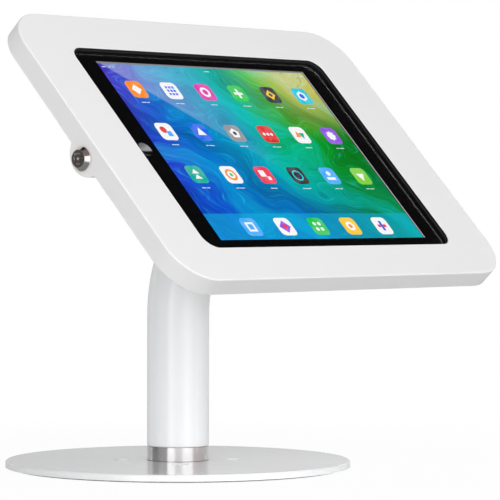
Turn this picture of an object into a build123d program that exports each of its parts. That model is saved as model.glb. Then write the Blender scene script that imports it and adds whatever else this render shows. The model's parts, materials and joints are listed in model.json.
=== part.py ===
from build123d import *
import math
import os

# A tablet kiosk stand: a tilted white enclosure with a landscape tablet in it, on a bent
# tube that stands on a round plate. Millimetres and degrees.
# The stand's frame has its origin in the middle of the underside of the base pad, +Z up,
# the screen facing -Y. The head has its own frame: u to the right, v up the screen,
# n out of the screen, with its origin in the middle of the enclosure's front face.

# Base plate and pad
base_diameter = 222.0
base_thickness = 4.0
base_edge_chamfer = 0.8
pad_thickness = 1.0
pad_margin = 4.0
fixing_circle_diameter = 72.0
fixing_hole_diameter = 5.5
fixing_sink_diameter = 10.4
fixing_count = 4
fixing_first_angle = 45.0
pad_hole_margin = 2.0

# Swivel spigot that carries the column
ring_height = 9.3
ring_chamfer = 0.4
journal_height = 38.0
thrust_washer_thickness = 0.5
thrust_washer_inset = 0.3
spigot_screw_circle_diameter = 27.0
spigot_screw_diameter = 4.0
spigot_screw_head_diameter = 7.6
spigot_screw_length = 11.0
spigot_screw_count = 3
groove_depth = 1.9
groove_width = 5.6
groove_height = 18.0
groove_land_angle = 20.0

# Column tube
column_diameter = 40.0
column_wall = 2.0
column_straight_below = 83.9
column_straight_above = 38.3
bend_radius = 85.0
tilt = 46.5
bush_wall = 1.0
bush_length = 33.0
running_clearance = 0.05
fit_clearance = 0.02
stop_screw_diameter = 6.0
stop_screw_dog_diameter = 5.0
stop_screw_tip_gap = 0.4
stop_screw_sink = 0.4
stop_screw_socket = 3.0
stop_screw_socket_depth = 1.6
cable_exit_height = 54.0
grommet_hole_diameter = 12.0
grommet_lip = 1.6
grommet_lip_thickness = 1.0
grommet_bore_diameter = 8.0

# Head swivel
flange_diameter = 84.0
flange_thickness = 5.0
flange_chamfer = 0.8
flange_spigot_length = 8.0
cable_bore_diameter = 16.0
boss_diameter = 39.84
pivot_running_clearance = 0.08
friction_washer_thickness = 1.18
friction_washer_gap = 0.02
friction_washer_width = 10.0
friction_washer_inset = 1.0
retainer_diameter = 60.0
retainer_thickness = 2.5
retainer_gap = 0.05
retainer_screw_circle_diameter = 28.0
retainer_screw_diameter = 4.0
retainer_screw_head_diameter = 7.6
retainer_screw_length = 8.0
retainer_screw_count = 4
retainer_first_angle = 45.0
stop_pin_circle_diameter = 51.0
stop_pin_diameter = 5.0
stop_pin_top_gap = 0.3
stop_pin_root = 3.0
head_turn = 90.0
head_turn_spare = 2.0
stop_slot_clearance = 0.3

# Enclosure
enclosure_margin_u = 36.0
enclosure_margin_v = 25.75
enclosure_corner_radius = 28.0
cover_skin = 1.5
cover_wall = 1.6
cover_edge_rounding = 1.0
cover_rear_edge_rounding = 0.4
window_overlap_u = 2.0
window_overlap_v = 1.25
window_corner_radius = 10.0
window_shift_u = -0.7
window_shift_v = -1.3
window_edge_chamfer = 0.5
window_lip = 0.7
glass_recess = 3.2
seal_rebate = 1.0
seal_flange = 6.0
seal_inner_lip = 0.5
seal_lip_height = 1.1
seal_lip_rounding = 0.4
seal_gap = 0.1
cover_play = 0.8

# Rear housing: a pressed pan with a flat rim
housing_thickness = 1.5
pan_depth = 9.0
pan_margin_u = 26.0
pan_margin_v = 16.0
pan_corner_radius = 20.0
pan_draft = 15.0
pan_floor_rounding = 3.0
tongue_width = 20.0
tongue_spacing_share = 0.543
tongue_end_gap = 0.1
tongue_side_gap = 0.4
tongue_top_gap = 0.1
vent_length = 30.0
vent_width = 3.0
vent_pitch = 8.0
vent_count = 4
vent_offset_share = 0.658

# Tray and tablet supports
tray_thickness = 1.2
tray_overlap = 5.4
tray_corner_radius = 14.0
tray_hole_diameter = 24.0
tray_hole_pitch_u_share = 0.248
tray_hole_pitch_v_share = 0.492
tray_cable_hole_diameter = 30.0
tray_slot_length = 24.0
tray_slot_width = 5.0
tray_slot_gap = 1.6
tray_screw_inset = 2.7
tray_screw_v_share = 0.75
small_screw_diameter = 3.0
small_screw_head_diameter = 5.6
small_screw_head_height = 1.7
tablet_pad_thickness = 0.5
tablet_pad_width = 12.0
tablet_pad_length = 60.0
tablet_pad_inset = 18.0
guide_gap = 0.3
guide_wall = 3.0
guide_leg = 15.0
guide_height = 6.0
guide_boss_diameter = 8.0
guide_boss_height = 3.0
guide_boss_overlap = 1.0

# Lock in the enclosure's left wall
lock_v = -1.3
lock_inset = 0.3
lobe_radius = 14.6
lobe_centre_inset = 5.4
lobe_blend = 1.5
lock_head_diameter = 14.6
lock_face_diameter = 10.6
lock_head_height = 4.2
lock_head_straight = 1.5
lock_body_diameter = 12.0
lock_body_length = 17.0
lock_flat_width = 10.4
lock_hole_clearance = 0.1
lock_plug_diameter = 6.8
lock_post_diameter = 5.4
lock_post_length = 4.8
lock_post_sink = 0.2
lock_dimple_diameter = 2.4
lock_dimple_depth = 0.8
lock_index_width = 1.2
lock_index_depth = 0.8
lock_washer_diameter = 15.0
lock_washer_thickness = 1.0
lock_nut_flats = 14.0
lock_nut_thickness = 4.0
cam_gap = 0.3
cam_thickness = 2.0
cam_length = 7.6
cam_width = 6.0
cam_square = 4.6
cam_screw_diameter = 3.0
cam_screw_head_diameter = 7.0
cam_screw_head_height = 1.8
cam_screw_length = 5.0
shroud_wall = 1.5
shroud_end_gap = 1.9
shroud_end_chamfer = 4.0
keeper_gap = 0.3
keeper_thickness = 1.5
keeper_cam_overlap = 2.2
keeper_riser_gap = 4.4
keeper_foot_length = 13.0
keeper_half_width = 4.4

# Tablet
tablet_width = 240.0
tablet_height = 169.5
tablet_thickness = 6.6
tablet_corner_radius = 12.0
tablet_shift_v = -1.0
tablet_back_chamfer = 2.5
glass_thickness = 0.7
glass_proud = 0.2
glass_edge = 0.7
glass_clearance = 0.15
screen_border_u = 21.45
screen_border_v = 9.75
frame_margin = 1.2
frame_thickness = 0.15
display_overlap = 3.0
display_thickness = 1.2
display_gap = 0.3
home_diameter = 10.8
home_clearance = 0.1
home_travel = 0.4
home_height = 2.7
home_dish_depth = 0.4
home_sink = 0.1
front_lens_diameter = 3.0
front_lens_height = 1.4
rear_lens_diameter = 6.4
rear_lens_depth = 1.2
rear_lens_from_side = 12.0
rear_lens_from_bottom = 13.75
button_length = 10.0
button_width = 2.4
button_depth = 2.0
button_proud = 0.5
button_travel = 0.3
button_clearance = 0.15
power_button_from_corner = 24.0
volume_button_from_corner = 38.0
volume_button_pitch = 13.0
dock_width = 9.0
dock_height = 2.8
dock_depth = 7.0

# One overrun serves all cuts
overrun = 1.0

# Levels of the base and column
plate_top = pad_thickness + base_thickness
ring_top = plate_top + ring_height
column_bottom = ring_top + thrust_washer_thickness
groove_level = column_bottom + groove_height
cable_exit_level = column_bottom + cable_exit_height
column_radius = column_diameter / 2
tube_inner_radius = column_radius - column_wall
bush_inner_radius = tube_inner_radius - bush_wall
journal_radius = bush_inner_radius - running_clearance
bend_tangent = bend_radius * math.tan(math.radians(tilt / 2))
vertex_level = column_bottom + column_straight_below + bend_tangent

# Levels of the head, along n from the front face
glass_level = -glass_recess
tablet_back = glass_level - tablet_thickness
tray_top = tablet_back - tablet_pad_thickness
rim_top = tray_top - tray_thickness
rear_level = rim_top - housing_thickness
floor_bottom = rear_level - pan_depth
floor_top = floor_bottom + housing_thickness
flange_top = floor_bottom - friction_washer_gap - friction_washer_thickness
flange_bottom = flange_top - flange_thickness
retainer_bottom = floor_top + retainer_gap

# Where the head's frame stands
head_reach = bend_tangent + column_straight_above - flange_bottom
head_place = Location(
    (
        0,
        -head_reach * math.sin(math.radians(tilt)),
        vertex_level + head_reach * math.cos(math.radians(tilt)),
    ),
    (tilt, 0, 0),
)

# Outline of the enclosure's parts
enclosure_width = tablet_width + 2 * enclosure_margin_u
enclosure_height = tablet_height + 2 * enclosure_margin_v
window_width = tablet_width - 2 * window_overlap_u
window_height = tablet_height - 2 * window_overlap_v
inner_width = enclosure_width - 2 * cover_wall
inner_height = enclosure_height - 2 * cover_wall
rim_width = inner_width - 2 * cover_play
rim_height = inner_height - 2 * cover_play
rim_corner_radius = enclosure_corner_radius - cover_wall - cover_play
pan_width = rim_width - 2 * pan_margin_u
pan_height = rim_height - 2 * pan_margin_v
tray_width = pan_width + 2 * tray_overlap
tray_height = pan_height + 2 * tray_overlap
lock_level = rear_level + lock_inset
lobe_rise = lobe_centre_inset - lock_inset
glass_width = tablet_width - 2 * glass_edge
glass_height = tablet_height - 2 * glass_edge
glass_corner_radius = tablet_corner_radius - glass_edge
screen_width = tablet_width - 2 * screen_border_u
screen_height = tablet_height - 2 * screen_border_v
home_offset = (tablet_width - screen_border_u) / 2

# Axis that the cover turns on, in the tongues' rounded ends
tongue_end = enclosure_width / 2 - tongue_end_gap - housing_thickness / 2
tongue_level = (rim_top + rear_level) / 2


# Small helpers for turned and flat forms
def disc(diameter, bottom, height):
    place = Pos(0, 0, bottom)
    return place * Cylinder(diameter / 2, height, align=(Align.CENTER, Align.CENTER, Align.MIN))


def ring(outer, inner, bottom, height):
    return disc(outer, bottom, height) - disc(inner, bottom - overrun, height + 2 * overrun)


def cone(bottom_diameter, top_diameter, bottom, height):
    shape = Cone(
        bottom_diameter / 2, top_diameter / 2, height, align=(Align.CENTER, Align.CENTER, Align.MIN)
    )
    return Pos(0, 0, bottom) * shape


def slab(width, height, radius, bottom, thickness, shift_u=0, shift_v=0):
    outline = Pos(shift_u, shift_v, bottom) * RectangleRounded(width, height, radius)
    return extrude(outline, amount=thickness)


def block(u_low, u_high, v_low, v_high, n_low, n_high):
    size = (u_high - u_low, v_high - v_low, n_high - n_low)
    return Pos(u_low, v_low, n_low) * Box(*size, align=(Align.MIN, Align.MIN, Align.MIN))


def circle_places(circle_diameter, count, first_angle=0.0):
    step = 360 / count
    radius = circle_diameter / 2
    places = []
    for index in range(count):
        angle = math.radians(first_angle + index * step)
        places.append(Pos(radius * math.cos(angle), radius * math.sin(angle), 0))
    return places


def countersunk_screw(diameter, head_diameter, length):
    # The head's flat top lies at zero and the shank points down
    head_height = (head_diameter - diameter) / 2
    head = cone(diameter, head_diameter, -head_height, head_height)
    shank = disc(diameter, -length, length)
    socket = extrude(Pos(0, 0, -head_height / 2) * RegularPolygon(diameter / 3, 6), head_height)
    return head + shank - socket


def countersink(diameter, head_diameter, depth):
    # The cut for such a screw, from an overrun above its top down to its depth
    head_height = (head_diameter - diameter) / 2
    mouth = disc(head_diameter, 0, overrun)
    sink = cone(diameter, head_diameter, -head_height, head_height)
    return mouth + sink + disc(diameter, -depth, depth)


def button_screw(diameter, head_diameter, head_height, length):
    # The head sits on zero and the shank points down
    head = disc(head_diameter, 0, head_height)
    head = chamfer(head.edges().group_by(Axis.Z)[-1], head_height / 2)
    socket = extrude(Pos(0, 0, head_height / 2) * RegularPolygon(diameter / 3, 6), head_height)
    return head + disc(diameter, -length, length) - socket


# Base
def make_base_plate():
    plate = disc(base_diameter, pad_thickness, base_thickness)
    plate = chamfer(plate.edges().group_by(Axis.Z)[-1], base_edge_chamfer)
    for place in circle_places(fixing_circle_diameter, fixing_count, fixing_first_angle):
        hole = countersink(fixing_hole_diameter, fixing_sink_diameter, base_thickness + overrun)
        plate -= place * Pos(0, 0, plate_top) * hole
    for place in circle_places(spigot_screw_circle_diameter, spigot_screw_count):
        hole = countersink(
            spigot_screw_diameter + 2 * fit_clearance,
            spigot_screw_head_diameter,
            base_thickness + overrun,
        )
        plate -= place * Pos(0, 0, pad_thickness) * Rot(180, 0, 0) * hole
    return plate


def make_base_pad():
    pad = disc(base_diameter - 2 * pad_margin, 0, pad_thickness)
    hole_diameter = fixing_hole_diameter + 2 * pad_hole_margin
    for place in circle_places(fixing_circle_diameter, fixing_count, fixing_first_angle):
        pad -= place * disc(hole_diameter, -overrun, pad_thickness + 2 * overrun)
    return pad


def make_base_screws():
    screw = countersunk_screw(
        spigot_screw_diameter, spigot_screw_head_diameter, spigot_screw_length
    )
    screws = []
    for place in circle_places(spigot_screw_circle_diameter, spigot_screw_count):
        screws.append(place * Pos(0, 0, pad_thickness) * Rot(180, 0, 0) * screw)
    return screws


def make_swivel_spigot():
    # A turned ring with a journal above it, and a groove that stops the column's turn
    collar = disc(column_diameter, plate_top, ring_height)
    collar = chamfer(collar.edges().group_by(Axis.Z)[-1], ring_chamfer)
    journal = disc(2 * journal_radius, ring_top, journal_height)
    journal = chamfer(journal.edges().group_by(Axis.Z)[-1], ring_chamfer)
    spigot = collar + journal
    groove = ring(
        2 * (journal_radius + overrun),
        2 * (journal_radius - groove_depth),
        groove_level - groove_width / 2,
        groove_width,
    )
    half_land = column_radius * math.tan(math.radians(groove_land_angle / 2))
    land_outline = Polygon((0, 0), (half_land, -column_radius), (-half_land, -column_radius), align=None)
    land = extrude(Pos(0, 0, ring_top) * land_outline, amount=journal_height)
    spigot -= groove - land
    depth = spigot_screw_length - base_thickness + overrun
    for place in circle_places(spigot_screw_circle_diameter, spigot_screw_count):
        hole = disc(spigot_screw_diameter + 2 * fit_clearance, plate_top - overrun, depth + overrun)
        spigot -= place * hole
    return spigot


def make_thrust_washer():
    outer = column_diameter - 2 * thrust_washer_inset
    return ring(outer, 2 * bush_inner_radius, ring_top, thrust_washer_thickness)


# Column
def column_path():
    tilt_angle = math.radians(tilt)
    upper_length = bend_tangent + column_straight_above
    return FilletPolyline(
        (0, 0, column_bottom),
        (0, 0, vertex_level),
        (0, -upper_length * math.sin(tilt_angle), vertex_level + upper_length * math.cos(tilt_angle)),
        radius=bend_radius,
    )


def rear_place(level):
    # Turns a piece's own axis to point out of the back of the column
    return Pos(0, 0, level) * Rot(-90, 0, 0)


def make_column_tube():
    section = Circle(column_radius) - Circle(tube_inner_radius)
    tube = sweep(Pos(0, 0, column_bottom) * section, path=column_path())
    exit_hole = disc(grommet_hole_diameter, 0, column_diameter)
    tube -= rear_place(cable_exit_level) * exit_hole
    screw_hole = disc(stop_screw_diameter + 2 * fit_clearance, 0, column_diameter)
    tube -= rear_place(groove_level) * screw_hole
    return tube


def make_swivel_bush():
    outer = 2 * (tube_inner_radius - fit_clearance)
    bush = ring(outer, 2 * bush_inner_radius, column_bottom, bush_length)
    screw_hole = disc(stop_screw_diameter + 2 * fit_clearance, 0, column_diameter)
    return bush - rear_place(groove_level) * screw_hole


def make_stop_screw():
    tip = journal_radius - groove_depth + stop_screw_tip_gap
    head = column_radius - stop_screw_sink
    thread_start = bush_inner_radius + running_clearance
    screw = disc(stop_screw_diameter, thread_start, head - thread_start)
    screw += disc(stop_screw_dog_diameter, tip, thread_start - tip)
    socket_outline = Pos(0, 0, head) * RegularPolygon(stop_screw_socket / 2, 6)
    screw -= extrude(socket_outline, amount=-stop_screw_socket_depth)
    return rear_place(groove_level) * screw


def make_cable_grommet():
    # Two lips that follow the tube's wall, one outside and one inside, joined through the hole
    lip_reach = disc(grommet_hole_diameter + 2 * grommet_lip, 0, column_diameter)
    lip_reach = rear_place(cable_exit_level) * lip_reach
    low = cable_exit_level - grommet_hole_diameter
    height = 2 * grommet_hole_diameter
    outside = ring(column_diameter + 2 * grommet_lip_thickness, column_diameter, low, height)
    inner = 2 * tube_inner_radius
    inside = ring(inner, inner - 2 * grommet_lip_thickness, low, height)
    neck = disc(grommet_hole_diameter - 2 * fit_clearance, 0, column_diameter)
    wall = ring(column_diameter, inner, low, height)
    grommet = (outside & lip_reach) + (inside & lip_reach)
    grommet += wall & (rear_place(cable_exit_level) * neck)
    return grommet - rear_place(cable_exit_level) * disc(grommet_bore_diameter, 0, column_diameter)


# Head swivel, in the head's frame
def make_head_flange():
    flange = disc(flange_diameter, flange_bottom, flange_thickness)
    flange = chamfer(flange.edges().group_by(Axis.Z)[0], flange_chamfer)
    flange += disc(boss_diameter, flange_top, floor_top - flange_top)
    plug_diameter = 2 * (tube_inner_radius - fit_clearance)
    flange += disc(plug_diameter, flange_bottom - flange_spigot_length, flange_spigot_length)
    bore_height = floor_top - flange_bottom + flange_spigot_length
    bore_bottom = flange_bottom - flange_spigot_length - overrun
    flange -= disc(cable_bore_diameter, bore_bottom, bore_height + 2 * overrun)
    pin_hole = disc(stop_pin_diameter, flange_top - stop_pin_root, stop_pin_root + overrun)
    flange -= stop_pin_place() * pin_hole
    depth = retainer_screw_length - retainer_thickness - retainer_gap + overrun
    for place in circle_places(retainer_screw_circle_diameter, retainer_screw_count, retainer_first_angle):
        hole_diameter = retainer_screw_diameter + 2 * fit_clearance
        flange -= place * disc(hole_diameter, floor_top - depth, depth + overrun)
    return flange


def stop_pin_place():
    return Pos(0, stop_pin_circle_diameter / 2, 0)


def make_head_stop_pin():
    top = floor_top - stop_pin_top_gap
    bottom = flange_top - stop_pin_root
    pin = disc(stop_pin_diameter, bottom, top - bottom)
    return stop_pin_place() * pin


def make_friction_washer():
    outer = flange_diameter - 2 * friction_washer_inset
    return ring(outer, outer - 2 * friction_washer_width, flange_top, friction_washer_thickness)


def make_retainer():
    retainer = ring(retainer_diameter, cable_bore_diameter, retainer_bottom, retainer_thickness)
    top = retainer_bottom + retainer_thickness
    for place in circle_places(retainer_screw_circle_diameter, retainer_screw_count, retainer_first_angle):
        sink = countersink(
            retainer_screw_diameter + 2 * fit_clearance,
            retainer_screw_head_diameter,
            retainer_thickness + overrun,
        )
        retainer -= place * Pos(0, 0, top) * sink
    return retainer


def make_retainer_screws():
    screw = countersunk_screw(
        retainer_screw_diameter, retainer_screw_head_diameter, retainer_screw_length
    )
    top = retainer_bottom + retainer_thickness
    screws = []
    for place in circle_places(retainer_screw_circle_diameter, retainer_screw_count, retainer_first_angle):
        screws.append(place * Pos(0, 0, top) * screw)
    return screws


# Enclosure
def lock_place():
    # The lock's own axis runs into the enclosure from the outside of its left wall
    return Location(
        Plane(
            origin=(-enclosure_width / 2, lock_v, lock_level), x_dir=(0, 1, 0), z_dir=(1, 0, 0)
        )
    )


def make_front_cover():
    shell = slab(
        enclosure_width, enclosure_height, enclosure_corner_radius, rear_level, -rear_level
    )
    shell = fillet(shell.edges().group_by(Axis.Z)[-1], cover_edge_rounding)
    shell = fillet(shell.edges().group_by(Axis.Z)[0], cover_rear_edge_rounding)
    inner_radius = enclosure_corner_radius - cover_wall
    hollow_bottom = rear_level - overrun
    shell -= slab(
        inner_width, inner_height, inner_radius, hollow_bottom, -cover_skin - hollow_bottom
    )
    cut_bottom = -cover_skin - overrun
    shell -= window_slab(0, cut_bottom, cover_skin + 2 * overrun)
    shell -= window_slab(seal_rebate, cut_bottom, -window_lip - cut_bottom)
    window_edges = shell.edges().filter_by(inside_window).group_by(Axis.Z)[-1]
    shell = chamfer(window_edges, window_edge_chamfer)
    shell += make_lock_lobe()
    shell -= lock_hole()
    for side in (-1, 1):
        middle = tongue_middle(side)
        reach = tongue_width / 2 + tongue_side_gap
        shell -= block(
            inner_width / 2 - overrun,
            enclosure_width / 2 + overrun,
            middle - reach,
            middle + reach,
            rear_level - overrun,
            rim_top + tongue_top_gap,
        )
    return shell


def inside_window(edge):
    middle = edge.center()
    return (
        abs(middle.X - window_shift_u) < window_width / 2 + seal_rebate / 2
        and abs(middle.Y - window_shift_v) < window_height / 2 + seal_rebate / 2
        and middle.Z > -window_lip / 2
    )


def make_lock_lobe():
    # A rounded tab that carries the wall on behind the rear edge, round the lock
    root = lobe_radius / 2
    strip = Pos(0, root / 2 - lock_inset) * Rectangle(4 * lobe_radius, root)
    lower = Pos(0, -lobe_radius) * Rectangle(4 * lobe_radius, 2 * lobe_radius)
    outline = (Pos(0, lobe_rise) * Circle(lobe_radius) & lower) + strip
    corners = outline.vertices().filter_by(is_lobe_corner)
    outline = fillet(corners, lobe_blend)
    return lock_place() * extrude(outline, amount=cover_wall)


def is_lobe_corner(vertex):
    on_rear_edge = abs(vertex.Y + lock_inset) < lobe_blend / 10
    return on_rear_edge and abs(vertex.X) < 1.5 * lobe_radius


def lock_hole():
    round_hole = Circle(lock_body_diameter / 2 + lock_hole_clearance)
    flats = Rectangle(2 * lock_body_diameter, lock_flat_width + 2 * lock_hole_clearance)
    outline = Pos(0, 0, -overrun) * (round_hole & flats)
    return lock_place() * extrude(outline, amount=cover_wall + 2 * overrun)


def make_window_seal():
    # A black ring behind the window's edge: an upstand that lines the edge, a flange behind
    # the skin and a small rounded lip that reaches in over the glass
    bottom = glass_level + seal_gap
    lip_top = bottom + seal_lip_height
    lower = window_slab(seal_flange, bottom, seal_lip_height)
    lower -= window_slab(-seal_inner_lip, bottom - overrun, seal_lip_height + 2 * overrun)
    lip_edges = lower.faces().sort_by(Axis.Z)[-1].inner_wires()[0].edges()
    lower = fillet(lip_edges, seal_lip_rounding)
    upper = window_slab(seal_flange, lip_top, -cover_skin - lip_top)
    upper += window_slab(seal_rebate - fit_clearance, -cover_skin, cover_skin - window_lip)
    upper -= window_slab(0, lip_top - overrun, glass_recess + overrun)
    return lower + upper


def window_slab(margin, bottom, height):
    # A slab that stands out round the window by a margin
    return slab(
        window_width + 2 * margin,
        window_height + 2 * margin,
        window_corner_radius + margin,
        bottom,
        height,
        window_shift_u,
        window_shift_v,
    )


def make_rear_housing():
    # A flat rim round a pan whose walls lean inwards to a flat floor
    rim = slab(rim_width, rim_height, rim_corner_radius, rear_level, housing_thickness)
    pan_outline = Pos(0, 0, rear_level) * RectangleRounded(pan_width, pan_height, pan_corner_radius)
    pan = extrude(pan_outline, amount=-pan_depth, taper=pan_draft)
    pan = fillet(pan.edges().group_by(Axis.Z)[0], pan_floor_rounding)
    hollow_width = pan_width - 2 * housing_thickness
    hollow_height = pan_height - 2 * housing_thickness
    hollow_outline = RectangleRounded(
        hollow_width, hollow_height, pan_corner_radius - housing_thickness
    )
    hollow = extrude(Pos(0, 0, rim_top) * hollow_outline, amount=-pan_depth, taper=pan_draft)
    hollow = chamfer(hollow.edges().group_by(Axis.Z)[0], pan_floor_rounding - housing_thickness)
    mouth = slab(
        hollow_width,
        hollow_height,
        pan_corner_radius - housing_thickness,
        rim_top - overrun / 2,
        overrun,
    )
    housing = rim + pan - hollow - mouth
    housing -= disc(boss_diameter + 2 * pivot_running_clearance, floor_bottom - overrun, pan_depth)
    housing -= make_stop_slot()
    for side in (-1, 1):
        middle = tongue_middle(side)
        housing += block(
            rim_width / 2 - overrun,
            tongue_end,
            middle - tongue_width / 2,
            middle + tongue_width / 2,
            rear_level,
            rim_top,
        )
        rounded_end = Rot(90, 0, 0) * Cylinder(housing_thickness / 2, tongue_width)
        housing += Pos(tongue_end, middle, tongue_level) * rounded_end
        housing -= make_vents(side)
    housing -= rim_cutout()
    for place in tray_screw_places() + keeper_screw_places():
        hole_diameter = small_screw_diameter + 2 * fit_clearance
        hole = disc(hole_diameter, rear_level - overrun, housing_thickness + 2 * overrun)
        housing -= place * hole
    return housing


def tongue_middle(side):
    return side * tongue_spacing_share * enclosure_height / 2


def make_stop_slot():
    # The pin stands still while the head turns, so the slot runs back from the pin
    radius = stop_pin_circle_diameter / 2
    spare = head_turn_spare
    arc = CenterArc((0, 0), radius, 90.0 + spare, -(head_turn + 2 * spare))
    width = stop_pin_diameter + 2 * stop_slot_clearance
    outline = Pos(0, 0, floor_bottom - overrun) * SlotArc(arc, width)
    return extrude(outline, amount=housing_thickness + 2 * overrun)


def make_vents(side):
    vents = []
    for index in range(vent_count):
        v = (index - (vent_count - 1) / 2) * vent_pitch
        outline = Pos(side * vent_offset_share * pan_width / 2, v, floor_bottom - overrun)
        outline = outline * SlotOverall(vent_length, vent_width)
        vents.append(extrude(outline, amount=housing_thickness + 2 * overrun))
    return vents


def shroud_inner_radius():
    return lobe_radius - shroud_wall


def rim_cutout():
    half = math.sqrt(shroud_inner_radius() ** 2 - lobe_centre_inset**2)
    return block(
        -rim_width / 2 - overrun,
        -tray_width / 2,
        lock_v - half,
        lock_v + half,
        rear_level - overrun,
        rim_top + overrun,
    )


def make_lock_shroud():
    # The lower part of a closed tube under the rim, round the lock's body and the turning cam
    start = (enclosure_width - rim_width) / 2
    end = (enclosure_width - tray_width) / 2 + shroud_wall
    outer = disc(2 * lobe_radius, start, end - start)
    outer = chamfer(outer.edges().group_by(Axis.Z)[-1], shroud_end_chamfer)
    inner = disc(2 * shroud_inner_radius(), start - overrun, end - start + overrun - shroud_wall)
    inner = chamfer(inner.edges().group_by(Axis.Z)[-1], shroud_end_chamfer - shroud_wall)
    lower = Box(
        4 * lobe_radius, 2 * lobe_radius, 2 * end, align=(Align.CENTER, Align.MAX, Align.CENTER)
    )
    shroud = Pos(0, lobe_rise, 0) * (outer - inner) & (Pos(0, -lock_inset, end / 2) * lower)
    return lock_place() * shroud


# Lock, in its own frame: the axis runs inwards from the wall's outer face
def make_lock_body():
    head = disc(lock_head_diameter, -lock_head_straight, lock_head_straight)
    bevel = lock_head_height - lock_head_straight
    head += cone(lock_face_diameter, lock_head_diameter, -lock_head_height, bevel)
    barrel = disc(lock_body_diameter, 0, lock_body_length)
    flats = Box(
        2 * lock_body_diameter,
        lock_flat_width,
        lock_body_length,
        align=(Align.CENTER, Align.CENTER, Align.MIN),
    )
    body = head + (barrel & flats)
    bore = lock_plug_diameter + 2 * running_clearance
    body -= disc(bore, -lock_head_height - overrun, lock_head_height + lock_body_length + 2 * overrun)
    index_notch = Box(
        lock_face_diameter / 2 - lock_index_depth,
        lock_index_width,
        2 * lock_index_depth,
        align=(Align.MIN, Align.CENTER, Align.CENTER),
    )
    body -= Pos(0, 0, -lock_head_height) * index_notch
    return lock_place() * body


def make_lock_plug():
    # A post in the middle of a ring-shaped keyway, and a core that turns with it
    face = -lock_head_height + lock_post_sink
    core_start = -lock_head_height + lock_post_length
    core_end = lock_body_length + cam_gap
    plug = disc(lock_post_diameter, face, core_start - face)
    plug += disc(lock_plug_diameter, core_start, core_end - core_start)
    tail = Box(cam_square, cam_square, cam_thickness, align=(Align.CENTER, Align.CENTER, Align.MIN))
    plug += Pos(0, 0, core_end) * tail
    plug -= disc(lock_dimple_diameter, face - overrun, lock_dimple_depth + overrun)
    hole_depth = cam_screw_length + fit_clearance
    screw_seat = core_end + cam_thickness
    plug -= disc(cam_screw_diameter + 2 * fit_clearance, screw_seat - hole_depth, hole_depth + overrun)
    return lock_place() * plug


def make_lock_cam():
    level = lock_body_length + cam_gap
    finger = Pos(-cam_length / 2, 0) * Rectangle(cam_length, cam_width)
    outline = (finger & Circle(cam_length)) + Circle(cam_square)
    outline -= Rectangle(cam_square + 2 * fit_clearance, cam_square + 2 * fit_clearance)
    return lock_place() * extrude(Pos(0, 0, level) * outline, amount=cam_thickness)


def make_cam_screw():
    screw = button_screw(
        cam_screw_diameter, cam_screw_head_diameter, cam_screw_head_height, cam_screw_length
    )
    seat = lock_body_length + cam_gap + cam_thickness
    return lock_place() * Pos(0, 0, seat) * screw


def make_lock_washer():
    inner = lock_body_diameter + 2 * running_clearance
    return lock_place() * ring(lock_washer_diameter, inner, cover_wall, lock_washer_thickness)


def make_lock_nut():
    seat = cover_wall + lock_washer_thickness
    outline = RegularPolygon(lock_nut_flats / 2, 6, major_radius=False)
    outline -= Circle(lock_body_diameter / 2 + running_clearance)
    return lock_place() * extrude(Pos(0, 0, seat) * outline, amount=lock_nut_thickness)


# Keeper that the cam turns under
def keeper_levels():
    cam_top = lock_level + cam_width / 2
    finger_bottom = cam_top + keeper_gap
    finger_end = lock_v - cam_length + keeper_cam_overlap
    riser = lock_v - cam_length - keeper_riser_gap
    return finger_bottom, finger_end, riser


def keeper_middle():
    return -enclosure_width / 2 + lock_body_length + cam_gap + cam_thickness / 2


def make_latch_keeper():
    finger_bottom, finger_end, riser = keeper_levels()
    low = keeper_middle() - keeper_half_width
    high = keeper_middle() + keeper_half_width
    finger_top = finger_bottom + keeper_thickness
    foot_top = rim_top + keeper_thickness
    back = riser - keeper_thickness
    keeper = block(low, high, back, finger_end, finger_bottom, finger_top)
    keeper += block(low, high, back, riser, rim_top, finger_top)
    keeper += block(low, high, back - keeper_foot_length, riser, rim_top, foot_top)
    hole_diameter = small_screw_diameter + 2 * fit_clearance
    for place in keeper_screw_places():
        keeper -= place * disc(hole_diameter, rim_top - overrun, keeper_thickness + 2 * overrun)
    return keeper


def keeper_screw_places():
    riser = keeper_levels()[2] - keeper_thickness
    middle = riser - keeper_foot_length / 2
    return [Pos(keeper_middle(), middle, 0)]


def make_keeper_screw():
    screw = button_screw(
        small_screw_diameter,
        small_screw_head_diameter,
        small_screw_head_height,
        keeper_thickness + housing_thickness,
    )
    return [place * Pos(0, 0, rim_top + keeper_thickness) * screw for place in keeper_screw_places()]


# Tray and tablet supports
def tray_screw_places():
    side_u = tray_width / 2 - tray_screw_inset
    along_v = tray_screw_v_share * tray_height / 2
    places = []
    for sign_u in (-1, 1):
        for sign_v in (-1, 1):
            places.append(Pos(sign_u * side_u, sign_v * along_v, 0))
    return places


def guide_places():
    # The guides stand at the tablet's four corners, turned to face them
    corner_u = tablet_width / 2 + guide_gap
    corner_v = tablet_height / 2 + guide_gap
    return [
        (Pos(corner_u, corner_v + tablet_shift_v, 0), 1, 1),
        (Pos(-corner_u, corner_v + tablet_shift_v, 0), -1, 1),
        (Pos(-corner_u, -corner_v + tablet_shift_v, 0), -1, -1),
        (Pos(corner_u, -corner_v + tablet_shift_v, 0), 1, -1),
    ]


def guide_boss_place(sign_u, sign_v):
    # The boss stands outside the middle of the guide's longer leg
    out = guide_wall + guide_boss_diameter / 2 - guide_boss_overlap
    return Pos(-sign_u * guide_leg / 2, sign_v * out, 0)


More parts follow.
